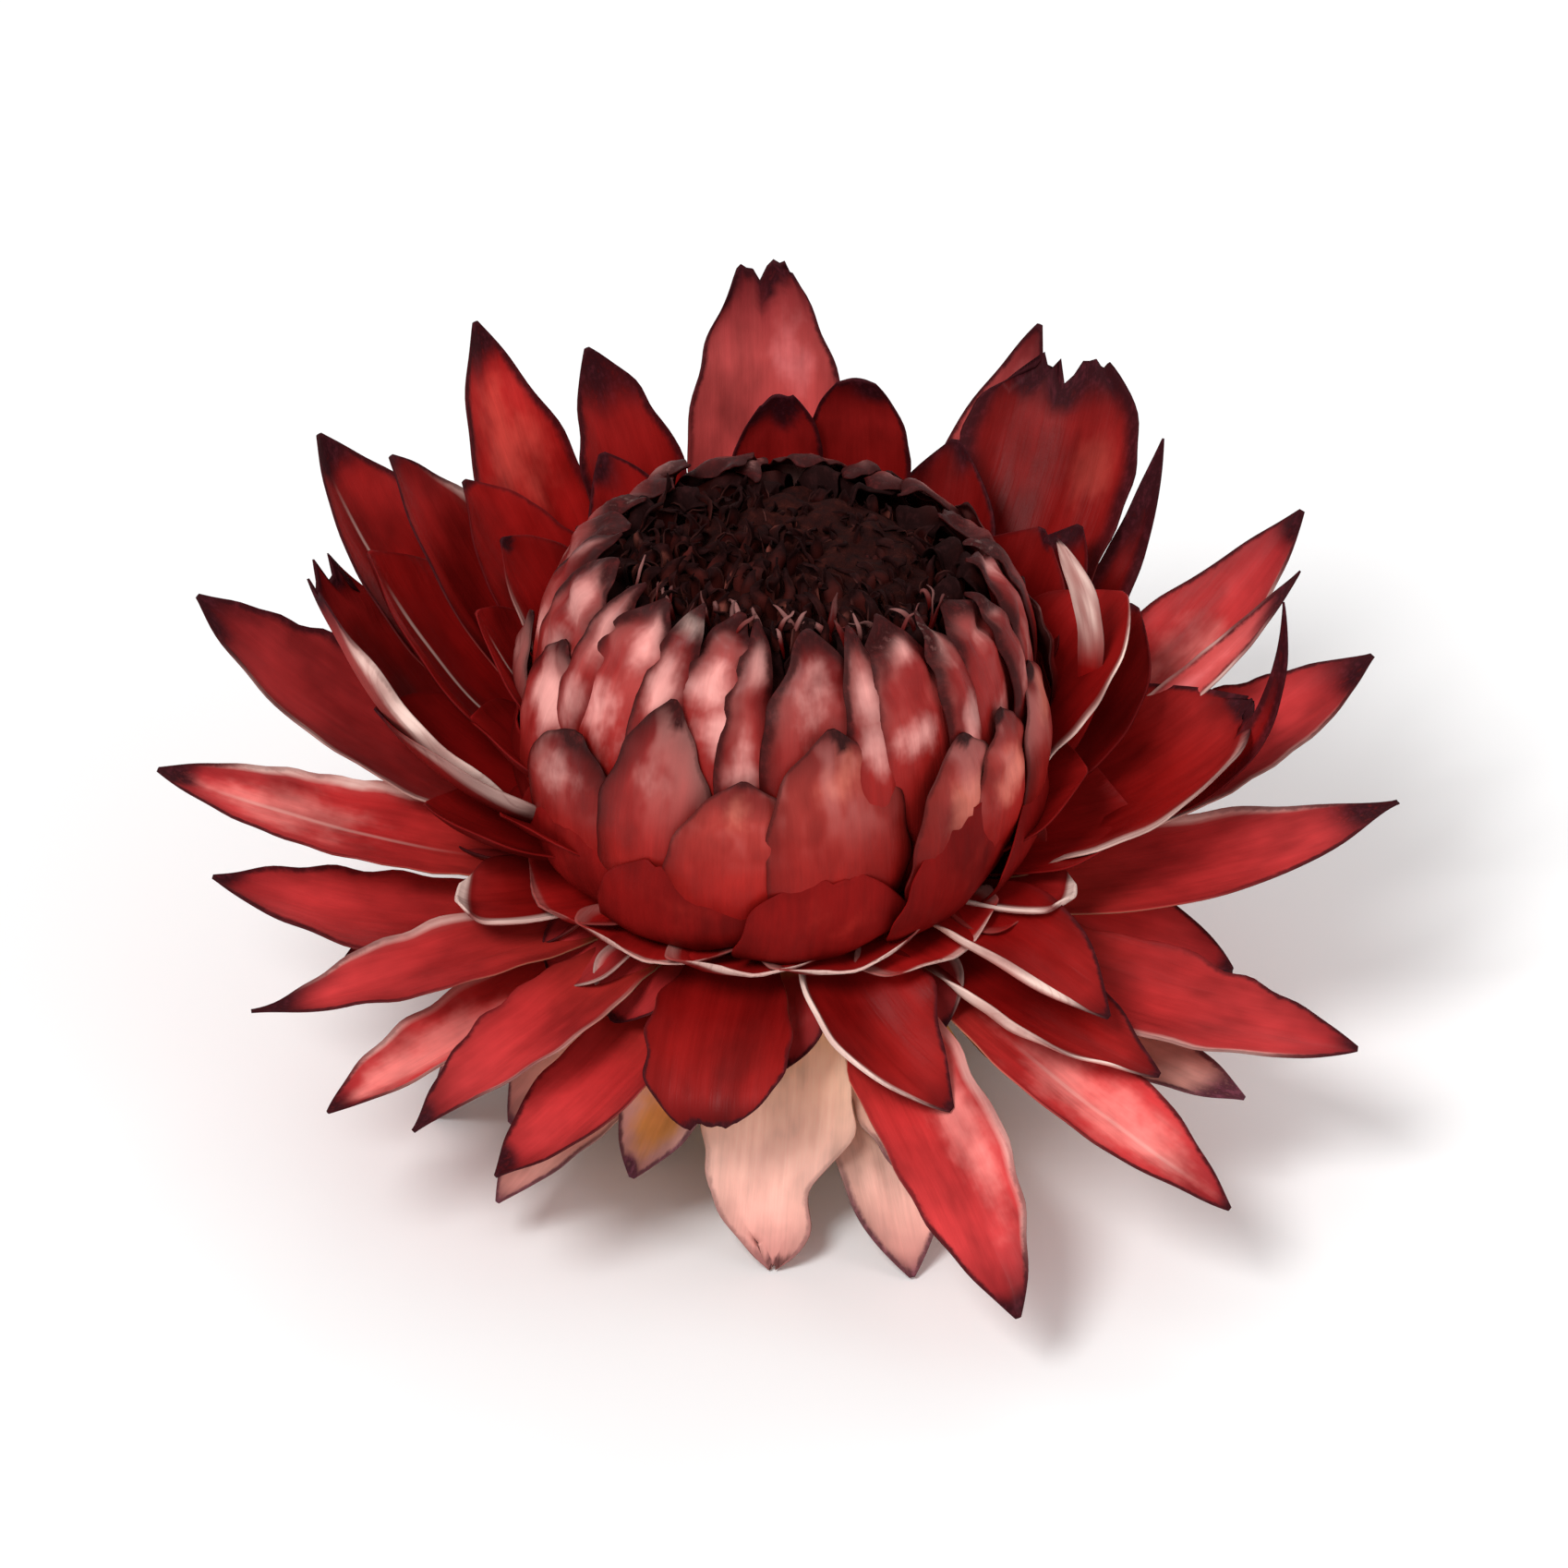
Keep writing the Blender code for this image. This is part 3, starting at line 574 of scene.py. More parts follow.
BUD_HANDLES = [(7.9, 2.0), (7.9, 9.9)]
BUD = []
for i in range(13):
    chance = np.random.default_rng(400 + i).uniform(-1, 1, 8)
    azimuth = -82 + 360 * i / 13 + 1.0 * chance[0]
    edge_r, edge_z = crown_edge(azimuth)
    behind = math.sin(math.radians(azimuth)) > 0.1
    # Right-front bracts (-62 to -5 degrees) get longer dark tips: their shrivelled tips, and painted shade where they
    # curl in under the crown.
    BUD.append((
        (azimuth, 2 * chance[1], edge_r + 0.2 * chance[2], edge_z + 0.15 * chance[6], None, 3.7, 0.45, 19, 7, 0.0, "P"),
        dict(handles=BUD_HANDLES, glow=0.75 + 0.25 * chance[5], painted_light_at=((0.74 if behind else 0.86) + 0.06 * chance[3], 0.080 + 0.02 * chance[2]), painted_light_also=0.66 + 0.06 * chance[5], painted_light_w=0.60, painted_light_off=0.25 * chance[7],
             tone=0.50 + 0.16 * chance[4], frost=0.15, crumple=0.12, pleat=13, pleats=3.0, vee=0.2, tipdark=0.14 if -62 < azimuth < -5 else 0.20 if behind else 0.06, taper=3.0, ink_w=2.4, ripple=0.06, rows=52, cols=19, roll_l=25),
    ))

pieces = []


def grow(prefix, kind, table, replace=None, seed=0, offset=1):
    for i, (row, look) in enumerate(table):
        look = dict(look)
        material, slot = KINDS[look.pop("skin", kind)]
        points, faces, values = bract_sheet(kind, row, seed + 13 * i, **look)
        piece = make_piece(f"{prefix}_{i + offset:02d}", points, faces, values, material, slot)
        if replace:
            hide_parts(f"{replace}_{i + 1:02d}")
        pieces.append(piece)


grow("cup_petal", "cup", CUP, "cup_bract", 1000)
grow("ring_petal", "ring", RING, "ring_bract", 2000)
grow("skirt_petal", "skirt", SKIRT, "skirt_bract", 3000)
grow("base_petal", "base", BASE, "base_bract", 4000)
grow("bud_petal", "bud", BUD, "bud_bract", 5000)

# ------------------------------- the smaller bracts between those of the frame
# the near-black tones (0.02, 0.04) on the bracts at 58, 34 and 32 degrees are painted shade, for the dark gap between
# the bud and the right side of the bowl
INNER_CUP = [
    ((154, -4, 13.2, 9.2, 28, 5.6, 0.50, 26, 12, 0.0, "P"), dict(seat=(5.2, 0.9), tone=0.34, vee=0.9, rim_l=0.7, roll_l=30, tipdark=0.05, taper=2.6, claw=0.7)),
    ((92, 0, 7.9, 10.3, None, 3.0, 0.60, 24, 8, 0.0, "B"), dict(seat=(5.2, 0.9), handles=[(8.6, 1.6), (9.2, 7.0)], tone=0.36, tipdark=0.10, torn=0.03)),
    ((76, 0, 8.6, 10.6, None, 3.4, 0.62, 24, 8, 0.0, "B"), dict(seat=(5.2, 0.8), handles=[(8.9, 1.6), (9.6, 7.0)], tone=0.30, tipdark=0.06)),
    ((-31, 6, 9.5, 0.9, 4, 3.0, 0.66, 26, -4, 0.0, "B"), dict(seat=(5.5, 0.5), tone=0.30, hook=34, hook_from=0.80, tiprim=0.85, tiprim_at=0.905, rim_l=0.9, roll_l=20, rim_at=0.66, tipdark=0.0, ink=0.1, taper=3.4, thick=0.26, ripple=0.02, pleat=4)),
    ((11, 8.5, 16.1, 5.75, 14, 1.2, 0.50, 30, 35, 0.0, "P"), dict(seat=(5.6, 0.3), skin="rosy", tone=0.85, rim_l=0.8, rim_r=0.5, glow=0.8, tipdark=0.14)),
    ((118, 3, 10.6, 7.2, 40, 4.6, 0.50, 26, 10, 0.0, "P"), dict(seat=(5.3, 0.8), tone=0.34)),
    ((141, 3, 11.6, 8.0, 34, 5.2, 0.50, 26, 10, 0.0, "P"), dict(seat=(5.3, 0.8), tone=0.40, ink=0.6, tipdark=0.03)),
    ((58, 3, 10.8, 7.4, 40, 4.6, 0.50, 26, 10, 0.0, "P"), dict(seat=(5.3, 0.8), tone=0.02)),
    ((34, 3, 11.0, 6.4, 35, 4.6, 0.50, 26, 10, 0.0, "P"), dict(seat=(5.3, 0.8), tone=0.04, ink=0.6)),
    ((168, -6, 12.9, 7.4, 20, 7.4, 0.52, 26, 12, 0.0, "P"), dict(seat=(5.2, 0.8), tone=0.32, vee=0.7, ink=0.25, tipdark=0.03, taper=2.8, claw=0.8, crease_highlight=0.85)),
    ((-174, -8, 12.0, 4.6, 14, 7.4, 0.52, 26, 12, 0.0, "P"), dict(seat=(5.3, 0.7), tone=0.33, vee=0.5, ink=0.25, rim_r=0.4, roll_r=30, tipdark=0.02, taper=2.8, claw=0.8)),
    ((-165, -8, 10.6, 2.2, 8, 6.0, 0.52, 28, 12, 0.0, "P"), dict(seat=(5.35, 0.55), tone=0.34, vee=0.5, ink=0.1, tipdark=0.0, taper=2.8, claw=0.8)),
    ((17, 8, 11.4, 4.9, 22, 6.6, 0.52, 26, 12, 0.0, "P"), dict(seat=(5.3, 0.7), tone=0.22, vee=0.6, ink=0.3, tipdark=0.03, taper=2.8, claw=0.8)),
    ((-10, 8, 10.2, 1.5, 10, 5.6, 0.52, 28, 8, 0.0, "P"), dict(seat=(5.4, 0.5), tone=0.32, vee=0.5, ink=0.1, tipdark=0.0, taper=2.8, claw=0.8)),
]
INNER_CUP += [
    ((150, 3, 9.2, 8.0, 55, 5.0, 0.52, 20, 10, 0.0, "P"), dict(seat=(5.1, 0.95), tone=0.34, ink=0.3, tipdark=0.03, taper=2.8, claw=0.8, rim_r=0.5)),
    ((170, -3, 9.3, 6.7, 52, 5.6, 0.52, 20, 10, 0.0, "P"), dict(seat=(5.1, 0.95), tone=0.36, ink=0.2, tipdark=0.0, taper=2.8, claw=0.8, crease_highlight=0.8, crease_at=0.2)),
    ((-171, -4, 9.2, 5.0, 46, 5.6, 0.52, 20, 10, 0.0, "P"), dict(seat=(5.1, 0.9), tone=0.34, ink=0.1, tipdark=0.0, taper=2.8, claw=0.8)),
    ((-156, -4, 8.8, 3.2, 36, 5.4, 0.52, 20, 8, 0.0, "P"), dict(seat=(5.1, 0.8), tone=0.36, ink=0.0, tipdark=0.0, taper=2.8, claw=0.8)),
    ((32, 3, 9.4, 7.2, 54, 5.0, 0.52, 20, 10, 0.0, "P"), dict(seat=(5.1, 0.95), tone=0.04, ink=0.3, tipdark=0.03, taper=2.8, claw=0.8)),
    ((7, 9, 10.4, 6.9, 54, 5.6, 0.55, 20, 14, 0.0, "P"), dict(seat=(5.1, 0.95), tone=0.22, ink=0.1, tipdark=0.0, taper=2.6, claw=0.9, rim_l=0.85, rim_at=0.86, roll_l=30, roll_t=(0.0, 1.0))),
    ((-2, 10, 14.75, 7.2, None, 1.0, 0.5, 30, 20, 0.0, "P"), dict(seat=(5.6, 0.1), handles=[(11.0, 0.2), (15.0, 1.6)], tone=0.3, tipdark=0.30, ink_w=2.0, twist=30)),
    ((-12, 4, 9.0, 3.6, 38, 5.4, 0.52, 20, 8, 0.0, "P"), dict(seat=(5.1, 0.9), tone=0.26, ink=0.0, tipdark=0.0, taper=2.8, claw=0.8)),
]
INNER_CUP = [(row, {**look, "skin": look.get("skin", "deep_shaded" if i > 4 else "cup")}) for i, (row, look) in enumerate(INNER_CUP)]
grow("inner_cup_petal", "cup", INNER_CUP, seed=6000)

# Short bracts under the ring
RING_MORE = []
for i, azimuth in enumerate((45, 63, 81, 99, 117, 135, 152, 30, -170, -5)):
    chance = np.random.default_rng(1200 + i).uniform(-1, 1, 4)
    RING_MORE.append((
        (azimuth + 3 * chance[0], 3 * chance[1], 12.4 + 1.0 * chance[2], -3.4 + 0.6 * chance[3], -14, 4.0, 0.48, 26, 6, 0.0, "P"),
        dict(seat=(5.2, -1.5), tone=0.54 + 0.1 * chance[0], tipdark=0.08, taper=2.5, rows=34),
    ))
grow("under_petal", "ring", RING_MORE, seed=9900)

# Short red bracts right under the lip of the bowl
LIP_MORE = []
for i, azimuth in enumerate((-173, -157, -141, -124, -90, -61, -24, -6, 14, 34, 52, 70, 88, 106, 124, 142, 160, 178)):
    chance = np.random.default_rng(1300 + i).uniform(-1, 1, 6)
    front = azimuth < 0
    LIP_MORE.append((
        (azimuth + 2 * chance[0], 3 * chance[1], (8.9 if front else 9.6) + 0.5 * chance[2], (-1.3 if front else -0.5) + 0.25 * chance[3], -8, 3.4 + 0.4 * chance[4], 0.50, 26, 5, 0.0, "P"),
        dict(seat=(5.35, -0.35), tone=0.40 + 0.10 * chance[0], tipdark=0.05, taper=2.6, rows=30, rim_l=0.6 if chance[5] > 0 else 0.0, rim_r=0.0 if chance[5] > 0 else 0.6, roll_l=25, roll_r=25, rim_at=0.84, roll_t=(0.1, 1.0)),
    ))
LIP_MORE[4] = ((-90.5, 0, 8.3, -2.0, -22, 2.6, 0.50, 26, 0, 0.0, "P"), dict(seat=(5.35, -0.6), tone=0.42, tipdark=0.05, taper=2.6, rows=30, glow=0.5))
grow("lip_petal", "ring", LIP_MORE, seed=9100)

# Narrow bracts over the gaps of those, then a broad layer that ends lower
STRIPS = []
for i in range(13):
    chance = np.random.default_rng(650 + i).uniform(-1, 1, 8)
    azimuth = -82 + 360 * (i + 0.5) / 13 + 3 * chance[1]
    edge_r, edge_z = crown_edge(azimuth)
    # Right-front strips (-62 to -5 degrees) get longer dark tips: their shrivelled tips, and painted shade where they
    # curl in under the crown.
    STRIPS.append((
        (azimuth, 3 * chance[2], edge_r + 0.1 + 0.25 * chance[0], edge_z + 0.2 * chance[3], None, 2.1 + 0.3 * chance[3], 0.48, 26, 10, 0.0, "P"),
        dict(seat=(4.6, 0.9), handles=[(8.2, 1.8), (8.2, 9.8)], glow=0.8 + 0.2 * chance[6], painted_light_at=(0.86 + 0.07 * chance[4], 0.085), painted_light_also=0.66 + 0.05 * chance[2], painted_light_w=0.62, painted_light_off=0.2 * chance[7], tone=0.52 + 0.18 * chance[5],
             frost=0.2, crumple=0.10, taper=2.8, tipdark=0.15 if -62 < azimuth < -5 else 0.20 if 6 < azimuth < 174 else 0.06, ink_w=1.9, pleat=13, vee=0.3, rows=46, roll_l=20, tiprim=0.35 if chance[5] > 0.3 else 0.0),
    ))
STRIPS.append(((4, 7, 7.9, 9.95, None, 0.80, 0.72, 8, 62, 0.0, "P"), dict(skin="deep_shaded", seat=(5.3, 0.7), handles=[(9.6, 1.6), (9.9, 7.4)], tone=0.42, tipdark=0.02, ink=0.3, taper=2.6, rim_l=0.74, rim_at=-1.3, roll_t=(0.56, 1.2), hook=-12, vee=0.0, pleat=3)))
grow("strip_petal", "bud", STRIPS, seed=7700)
OVER_BUD = []
for i in range(16):
    chance = np.random.default_rng(600 + i).uniform(-1, 1, 10)
    height = 8.5 + 1.2 * chance[0]
    OVER_BUD.append((
        (-96 + 360 * i / 16 + 4 * chance[1], 3 * chance[2], 7.05 - 0.42 * (height - 8.5), height, None, 4.2 + 0.7 * chance[3], 0.55, 22, 8, 0.12 * chance[8], "P"),
        dict(skin="coral" if chance[9] > -0.3 else "bud", seat=(4.8, 0.75), handles=[(8.3, 1.2), (8.3, 5.6)], glow=0.55 + 0.45 * chance[6], painted_light_at=(0.82 + 0.07 * chance[4], 0.11), painted_light_w=0.6, painted_light_off=0.3 * chance[7],
             tone=0.48 + 0.16 * chance[5], frost=0.3, crumple=0.06, taper=2.8 + 0.6 * chance[7], tipdark=0.02, ink=0.55, ink_w=0.9, pleat=10, vee=0.25, rows=42, roll_l=15, lop=0.15 * chance[2]),
    ))
grow("over_bud_petal", "bud", OVER_BUD, seed=7500)
OUTER_BUD = []
for i in range(11):
    chance = np.random.default_rng(700 + i).uniform(-1, 1, 6)
    height = 5.0 + 0.8 * chance[0]
    OUTER_BUD.append((
        (-80 + 360 * i / 11 + 3 * chance[1], 2 * chance[2], 7.85, height, None, 5.4 + 0.4 * chance[3], 0.52, 22, 6, 0.0, "B"),
        dict(skin="deep_shaded", seat=(5.0, 0.55), handles=[(7.6, 0.3), (8.05, height * 0.5)], glow=0.35, painted_light_at=(0.75, 0.20), tone=0.50 + 0.10 * chance[4],
             tipdark=0.0, ink=0.06, ink_w=0.6, pleat=6, vee=0.2, torn=0.015, rows=30, taper=2.6),
    ))
grow("outer_bud_petal", "bud", OUTER_BUD, seed=7000)

# Innermost layer: only its shrivelled ends show, round the crown
INNER_BUD = []
for i in range(19):
    chance = np.random.default_rng(800 + i).uniform(-1, 1, 6)
    azimuth = -75 + 360 * i / 19 + 3 * chance[0]
    edge_r, edge_z = crown_edge(azimuth, 0.9)
    INNER_BUD.append((
        (azimuth, 6 * chance[1], edge_r + 0.5 * chance[2], edge_z - 0.45 + 0.25 * chance[3], None, 2.1, 0.50, 20, 8, 0.0, "P"),
        dict(skin="dead", seat=(5.4, 5.0), handles=[(6.5, 7.8), (5.9, 10.3)], glow=0.0, tone=0.45, crumple=0.28, tipdark=0.30, taper=2.2,
             ink_w=2.0, pleat=16, rows=36, hook=30 * chance[4], tiprim=0.8 if chance[5] > 0.4 else 0.0),
    ))
grow("inner_bud_petal", "bud", INNER_BUD, seed=8000)

# Blunt bracts round the foot of the bud: their pale ends, partly a painted highlight, make the lip of the bowl
COLLAR = []
for i, (azimuth, reach, rise, width, pale) in enumerate((
    (-147, 8.3, 0.7, 5.2, 0.15), (-124, 8.3, 1.0, 5.2, 0.6), (-98, 8.15, 1.2, 5.2, 0.85), (-75, 8.1, 1.1, 5.2, 0.9), (-52, 8.3, 0.8, 5.2, 0.7), (-28, 8.3, 0.6, 5.2, 0.15),
    (-3, 8.4, 0.7, 5.2, 0.1), (22, 8.4, 0.8, 5.6, 0.3), (56, 8.4, 0.8, 5.6, 0.6), (90, 8.4, 0.8, 5.6, 0.8), (124, 8.4, 0.8, 5.6, 0.6), (158, 8.4, 0.8, 5.6, 0.3),
)):
    chance = np.random.default_rng(900 + i).uniform(-1, 1, 4)
    COLLAR.append((
        (azimuth + 2 * chance[0], 3 * chance[1], reach, rise + 0.12 * chance[3], -4, width, 0.66, 22, 4, 0.0, "B"),
        dict(skin="deep_shaded", seat=(5.2, 0.45), tone=0.54, ink=0.0, rim_l=0.3 * pale, rim_r=0.3 * pale, tiprim=0.75 * pale, tiprim_at=0.90, tipdark=0.0, torn=0.015, rows=28, thick=0.14, taper=3.4,
             hook=14 + 8 * chance[2], hook_from=0.80),
    ))
grow("collar_petal", "cup", COLLAR, seed=9000)

# Pale bracts between those of the skirt, and small amber ones round the stem
SKIRT_MORE = []
for i, azimuth in enumerate((-2, 41, 83, 126, -178, -148, -60, 172)):
    chance = np.random.default_rng(950 + i).uniform(-1, 1, 4)
    SKIRT_MORE.append((
        (azimuth, 3 * chance[0], 9.6 + 0.6 * chance[1], -6.6 + 0.6 * chance[2], -38, 3.7, 0.48, 22, 5, 0.0, "P"),
        dict(seat=(4.6, -2.7), tone=0.56 + 0.1 * chance[3], tipdark=0.08, rows=32),
    ))
grow("skirt_petal_small", "skirt", SKIRT_MORE, seed=9500)
BASE_MORE = []
for i in range(13):
    chance = np.random.default_rng(980 + i).uniform(-1, 1, 4)
    low = i % 2
    BASE_MORE.append((
        (-20 + 360 * i / 13 + 3 * chance[0], 3 * chance[1], (5.6 if low else 7.0) + 0.2 * chance[2], (-7.3 if low else -6.6) + 0.2 * chance[3], -38, 2.7, 0.52, 24, 4, 0.0, "P"),
        dict(seat=(2.9, -4.3) if low else (4.0, -3.2), tone=0.52 + 0.08 * chance[2], tipdark=0.10, rows=24, cols=13),
    ))
grow("base_petal_small", "base", BASE_MORE, seed=9800)


# ------------------------------------------------------- crown of dried florets
def gather(parts):
    """Several sheets as one mesh."""
    points, faces, start = [], [], 0
    values = {key: [] for key in parts[0][2]}
    for p, f, v in parts:
        points.append(p)
        faces.append(f + start)
        start += len(p)
        for key in values:
            values[key].append(v[key])
    return np.concatenate(points), np.concatenate(faces), {k: np.concatenate(v) for k, v in values.items()}


rng = np.random.default_rng(31)
chaff = []
for i in range(330):
    # spiral packing over the disc, as florets grow
    share = math.sqrt((i + 0.5) / 330)
    x, y = 0.2 + 5.0 * share * math.cos(math.radians(137.508 * i)), 4.15 * share * math.sin(math.radians(137.508 * i))
    radius, azimuth = math.hypot(x, y), math.degrees(math.atan2(y, x)) + rng.uniform(-8, 8)
    foot = 10.20 - 0.020 * radius**2 - 0.11 * y - 0.09 * x
    tall = rng.uniform(0.3, 0.9)
    lean = rng.uniform(-0.5, 0.9)
    row = (azimuth, rng.uniform(-14, 14) / max(radius, 1), radius - lean, foot + tall, None, rng.uniform(0.25, 0.75), 0.5, 50, rng.uniform(-60, 60), 0.0, "P")
    look = dict(
        seat=(radius, foot - 0.7), handles=[(radius + 0.25, foot + 0.3 * tall), (radius + rng.uniform(-0.3, 0.5), foot + 0.8 * tall)],
        rows=10, cols=5, crumple=0.14, ripple=0.10, thick=0.07, tone=rng.uniform(0.3, 0.9), twist=rng.uniform(-70, 70), hook=rng.uniform(-90, 90),
        hook_from=0.4, tipdark=0.3, glow=1.0 if rng.random() < 0.14 else 0.1, rim_l=0.9 if rng.random() < 0.2 else 0.0, rim_r=0.4,
    )
    chaff.append(bract_sheet("bud", row, 12000 + 11 * i, **look))
threads = []
for i in range(26):
    azimuth = -150 + 125 * i / 25 + rng.uniform(-4, 4)
    edge_r, edge_z = crown_edge(azimuth, rng.uniform(0.1, 1.0))
    row = (azimuth, rng.uniform(-16, 16), edge_r + rng.uniform(-0.5, 0.3), edge_z - 0.15 + rng.uniform(-0.15, 0.10), None, rng.uniform(0.12, 0.26), 0.5, 30, rng.uniform(-40, 40), 0.0, "P")
    look = dict(
        seat=(edge_r + 0.2, edge_z - 1.3), handles=[(edge_r + 0.6, edge_z - 0.5), (edge_r + 0.2, edge_z + 0.10)], rows=14, cols=5, crumple=0.10, ripple=0.08, thick=0.06,
        tone=rng.uniform(0.3, 0.8), twist=rng.uniform(-60, 60), hook=rng.uniform(-120, 60), hook_from=0.4, tipdark=0.0, ink=0.2, glow=rng.uniform(0.3, 1.0), painted_light_at=(0.8, 0.4), painted_light_w=3.0,
    )
    threads.append(bract_sheet("bud", row, 17000 + 11 * i, **look))
make_piece("crown_thread", *gather(threads), ROSE, "rose_bract")
crown = make_piece("crown_chaff", *gather(chaff), DEAD, "dried_florets")


def turned_solid(profile, steps, rows, lump):
    """A lathed solid, with its surface moved in and out by lump(angle, r, z)."""
    profile = np.array(profile, float)
    length = np.concatenate([[0], np.cumsum(np.hypot(*np.diff(profile, axis=0).T))])
    place = np.linspace(0, length[-1], rows)
    r, z = np.interp(place, length, profile[:, 0]), np.interp(place, length, profile[:, 1])
    angle = np.linspace(0, 2 * np.pi, steps, endpoint=False)
    A, R = np.meshgrid(angle, r[1:-1], indexing="xy")
    Z = np.repeat(z[1:-1, None], steps, 1)
    dr, dz = np.gradient(r)[1:-1, None], np.gradient(z)[1:-1, None]
    size = np.hypot(dr, dz)
    move = lump(A, R, Z)
    Rm, Zm = R - dz / size * move, Z + dr / size * move
    ring = np.stack([Rm * np.cos(A), Rm * np.sin(A), Zm], -1).reshape(-1, 3)
    points = np.concatenate([[[0, 0, z[0]]], ring, [[0, 0, z[-1]]]])
    index = 1 + np.arange((rows - 2) * steps).reshape(rows - 2, steps)
    nxt = np.roll(index, -1, axis=1)
    faces = np.stack([index[:-1], index[1:], nxt[1:], nxt[:-1]], -1).reshape(-1, 4).tolist()
    faces += [[0, a, b] for a, b in zip(index[0], nxt[0])]
    last = len(points) - 1
    faces += [[last, b, a] for a, b in zip(index[-1], nxt[-1])]
    return points, [list(map(int, f)) for f in faces]


pimple = waves(51, 9, 3.0, 7.0)
points, faces = turned_solid(
    [(0, 10.4), (2.0, 10.35), (3.2, 10.1), (4.1, 9.7), (4.6, 8.9), (4.7, 7.5), (4.2, 4.5), (3.8, 2.4), (3.4, 1.9), (0, 1.9)],
    96, 70, lambda A, R, Z: 0.16 * pimple(R * np.cos(A), R * np.sin(A)) * smooth(Z, 7.5, 9.0),
)
n = Nodes("floret_bed")
spot = n.tree.nodes.new("ShaderNodeTexCoord").outputs["Object"]
grain = n.noise(spot, (1, 1, 1), 2600.0, 4.0, 0.6)
n.put(n.shader.inputs["Base Color"], n.ramp(grain, [(0.30, (0.010, 0.003, 0.003)), (0.55, (0.024, 0.005, 0.004)), (0.75, (0.050, 0.011, 0.008))]))
n.put(n.shader.inputs["Roughness"], n.span(grain, 0.3, 0.7, 0.75, 0.95))
n.shader.inputs["Specular IOR Level"].default_value = 0.04
n.bump(grain, 0.8, 0.0002)
disc = make_piece("floret_bed", points, faces, {}, n.material, "dried_florets")
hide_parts("floret_disc")

# ------------------------------------------------------------------ receptacle
knobs = waves(61, 8, 2.0, 5.0)


def seats(A, R, Z):
    # rows of low ledges where bracts are set, and a hollow where the stem broke off
    ledge = 0.10 * np.sin(13 * A + 2.2 * Z) * smooth(R, 1.8, 3.0) * smooth(-Z, -0.6, 1.0)
    return ledge + 0.06 * knobs(R * np.cos(A) * 1.5, Z * 1.5) * smooth(R, 1.5, 2.5)


points, faces = turned_solid(
    [(0, 1.6), (2.2, 1.5), (3.6, 1.1), (4.2, 0.7), (4.9, 0.1), (5.2, -0.5), (5.25, -0.95), (5.0, -1.5), (4.6, -2.1), (3.8, -2.9),
     (3.05, -3.6), (2.2, -4.4), (1.7, -5.1), (1.55, -5.6), (1.45, -5.78), (1.2, -5.8), (1.0, -5.6), (0.75, -5.15), (0.35, -5.0), (0, -5.0)],
    120, 90, seats,
)
n = Nodes("receptacle_skin")
spot = n.tree.nodes.new("ShaderNodeTexCoord").outputs["Object"]
grain = n.noise(spot, (1.0, 1.0, 0.3), 3200.0, 4.0, 0.6)
broad = n.noise(spot, (1.0, 1.0, 0.6), 700.0, 3.0, 0.6)
n.put(n.shader.inputs["Base Color"], n.mix(n.span(broad, 0.35, 0.65), n.ramp(grain, [(0.30, (0.30, 0.17, 0.06)), (0.55, (0.58, 0.40, 0.18)), (0.75, (0.74, 0.56, 0.30))]), (0.46, 0.24, 0.10), "MIX"))
n.put(n.shader.inputs["Roughness"], n.span(grain, 0.3, 0.7, 0.7, 0.95))
n.bump(grain, 0.7, 0.00015)
heart = make_piece("receptacle_body", points, faces, {}, n.material, "receptacle")
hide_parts("receptacle")

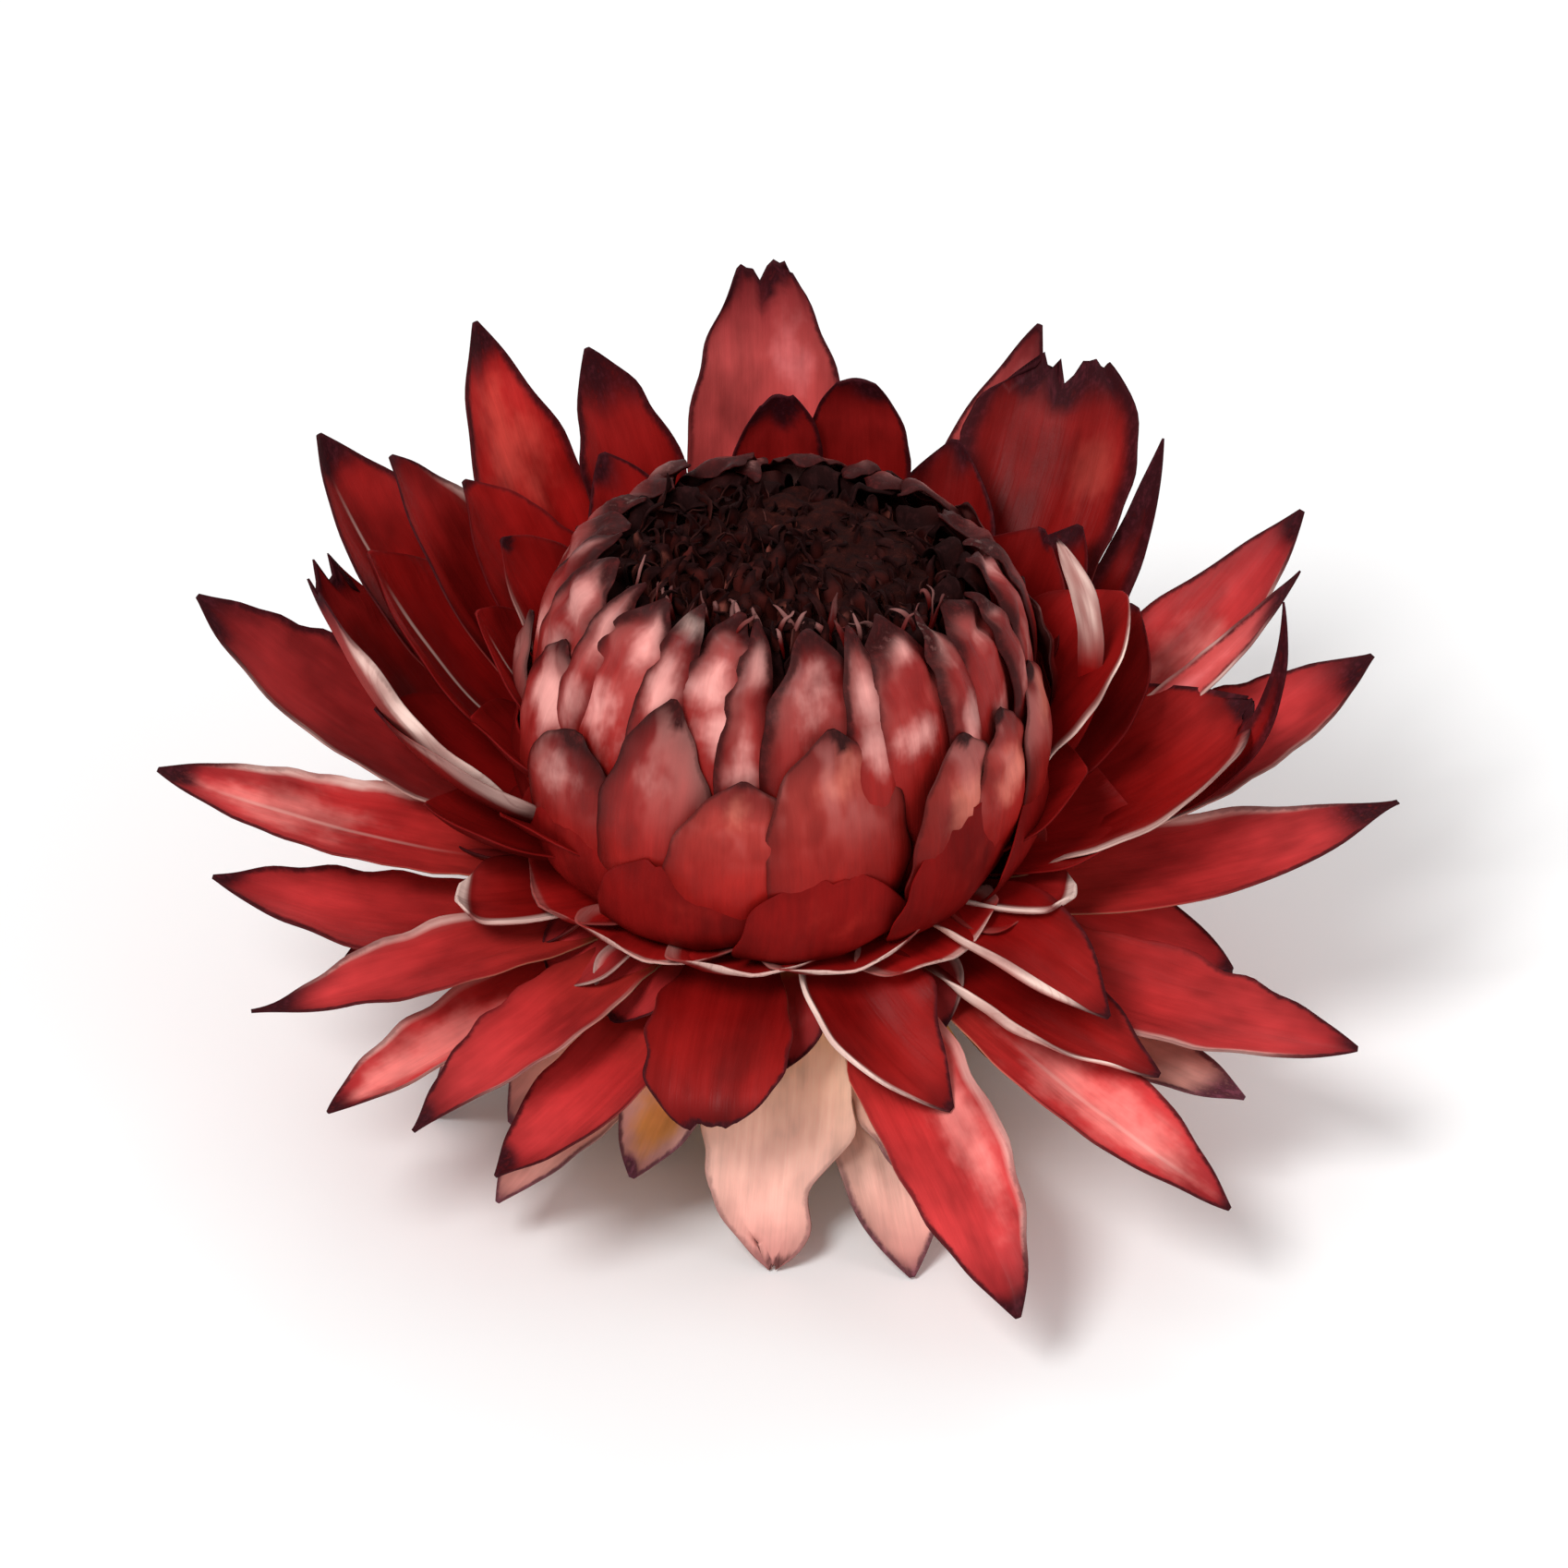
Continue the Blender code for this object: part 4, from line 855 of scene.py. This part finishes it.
# --------------------------------------------------------------- floor, light
floor_mesh = bpy.data.meshes.new("floor")
floor_mesh.from_pydata([(-3, -3, 0), (3, -3, 0), (3, 3, 0), (-3, 3, 0)], [], [(0, 1, 2, 3)])
n = Nodes("floor_card")
n.shader.inputs["Base Color"].default_value = (0.88, 0.88, 0.88, 1)
n.shader.inputs["Roughness"].default_value = 0.9
n.shader.inputs["Specular IOR Level"].default_value = 0.1
floor_mesh.materials.append(n.material)
floor = bpy.data.objects.new("floor", floor_mesh)
bpy.context.scene.collection.objects.link(floor)


def soft_light(name, place, size, power):
    light = bpy.data.lights.new(name, "AREA")
    light.shape = "DISK"
    light.size = size
    light.energy = power
    lamp = bpy.data.objects.new(name, light)
    lamp.location = place
    lamp.rotation_euler = (Vector((0, 0, 0.01)) - Vector(place)).to_track_quat("-Z", "Y").to_euler()
    bpy.context.scene.collection.objects.link(lamp)


soft_light("key", (-0.20, -0.26, 0.46), 0.20, 1.9)
soft_light("fill", (0.42, -0.20, 0.30), 0.30, 0.45)
soft_light("back", (0.10, 0.40, 0.40), 0.30, 0.5)
world = bpy.data.worlds.new("sky")
world.use_nodes = True
world.node_tree.nodes["Background"].inputs["Color"].default_value = (1.0, 1.0, 1.0, 1)
world.node_tree.nodes["Background"].inputs["Strength"].default_value = 0.62
bpy.context.scene.world = world
bpy.context.scene.view_settings.view_transform = "Standard"

# ---------------------------------------------------------------------- camera
ELEVATION = math.radians(38.5)
DISTANCE = 0.76
FRAME_WIDTH = 0.0460    # what the frame takes in at the head
target = Vector((AXIS * MM).tolist()) + Vector((0, 0, 2.0 * MM))
camera = bpy.data.objects.new("camera", bpy.data.cameras.new("camera"))
camera.data.sensor_width = 36.0
camera.data.lens = 36.0 * DISTANCE / FRAME_WIDTH
camera.data.clip_start = 0.05
camera.data.clip_end = 20.0
camera.location = target + Vector((0, -math.cos(ELEVATION), math.sin(ELEVATION))) * DISTANCE
camera.rotation_euler = (target - camera.location).to_track_quat("-Z", "Y").to_euler()
bpy.context.scene.collection.objects.link(camera)
bpy.context.scene.camera = camera
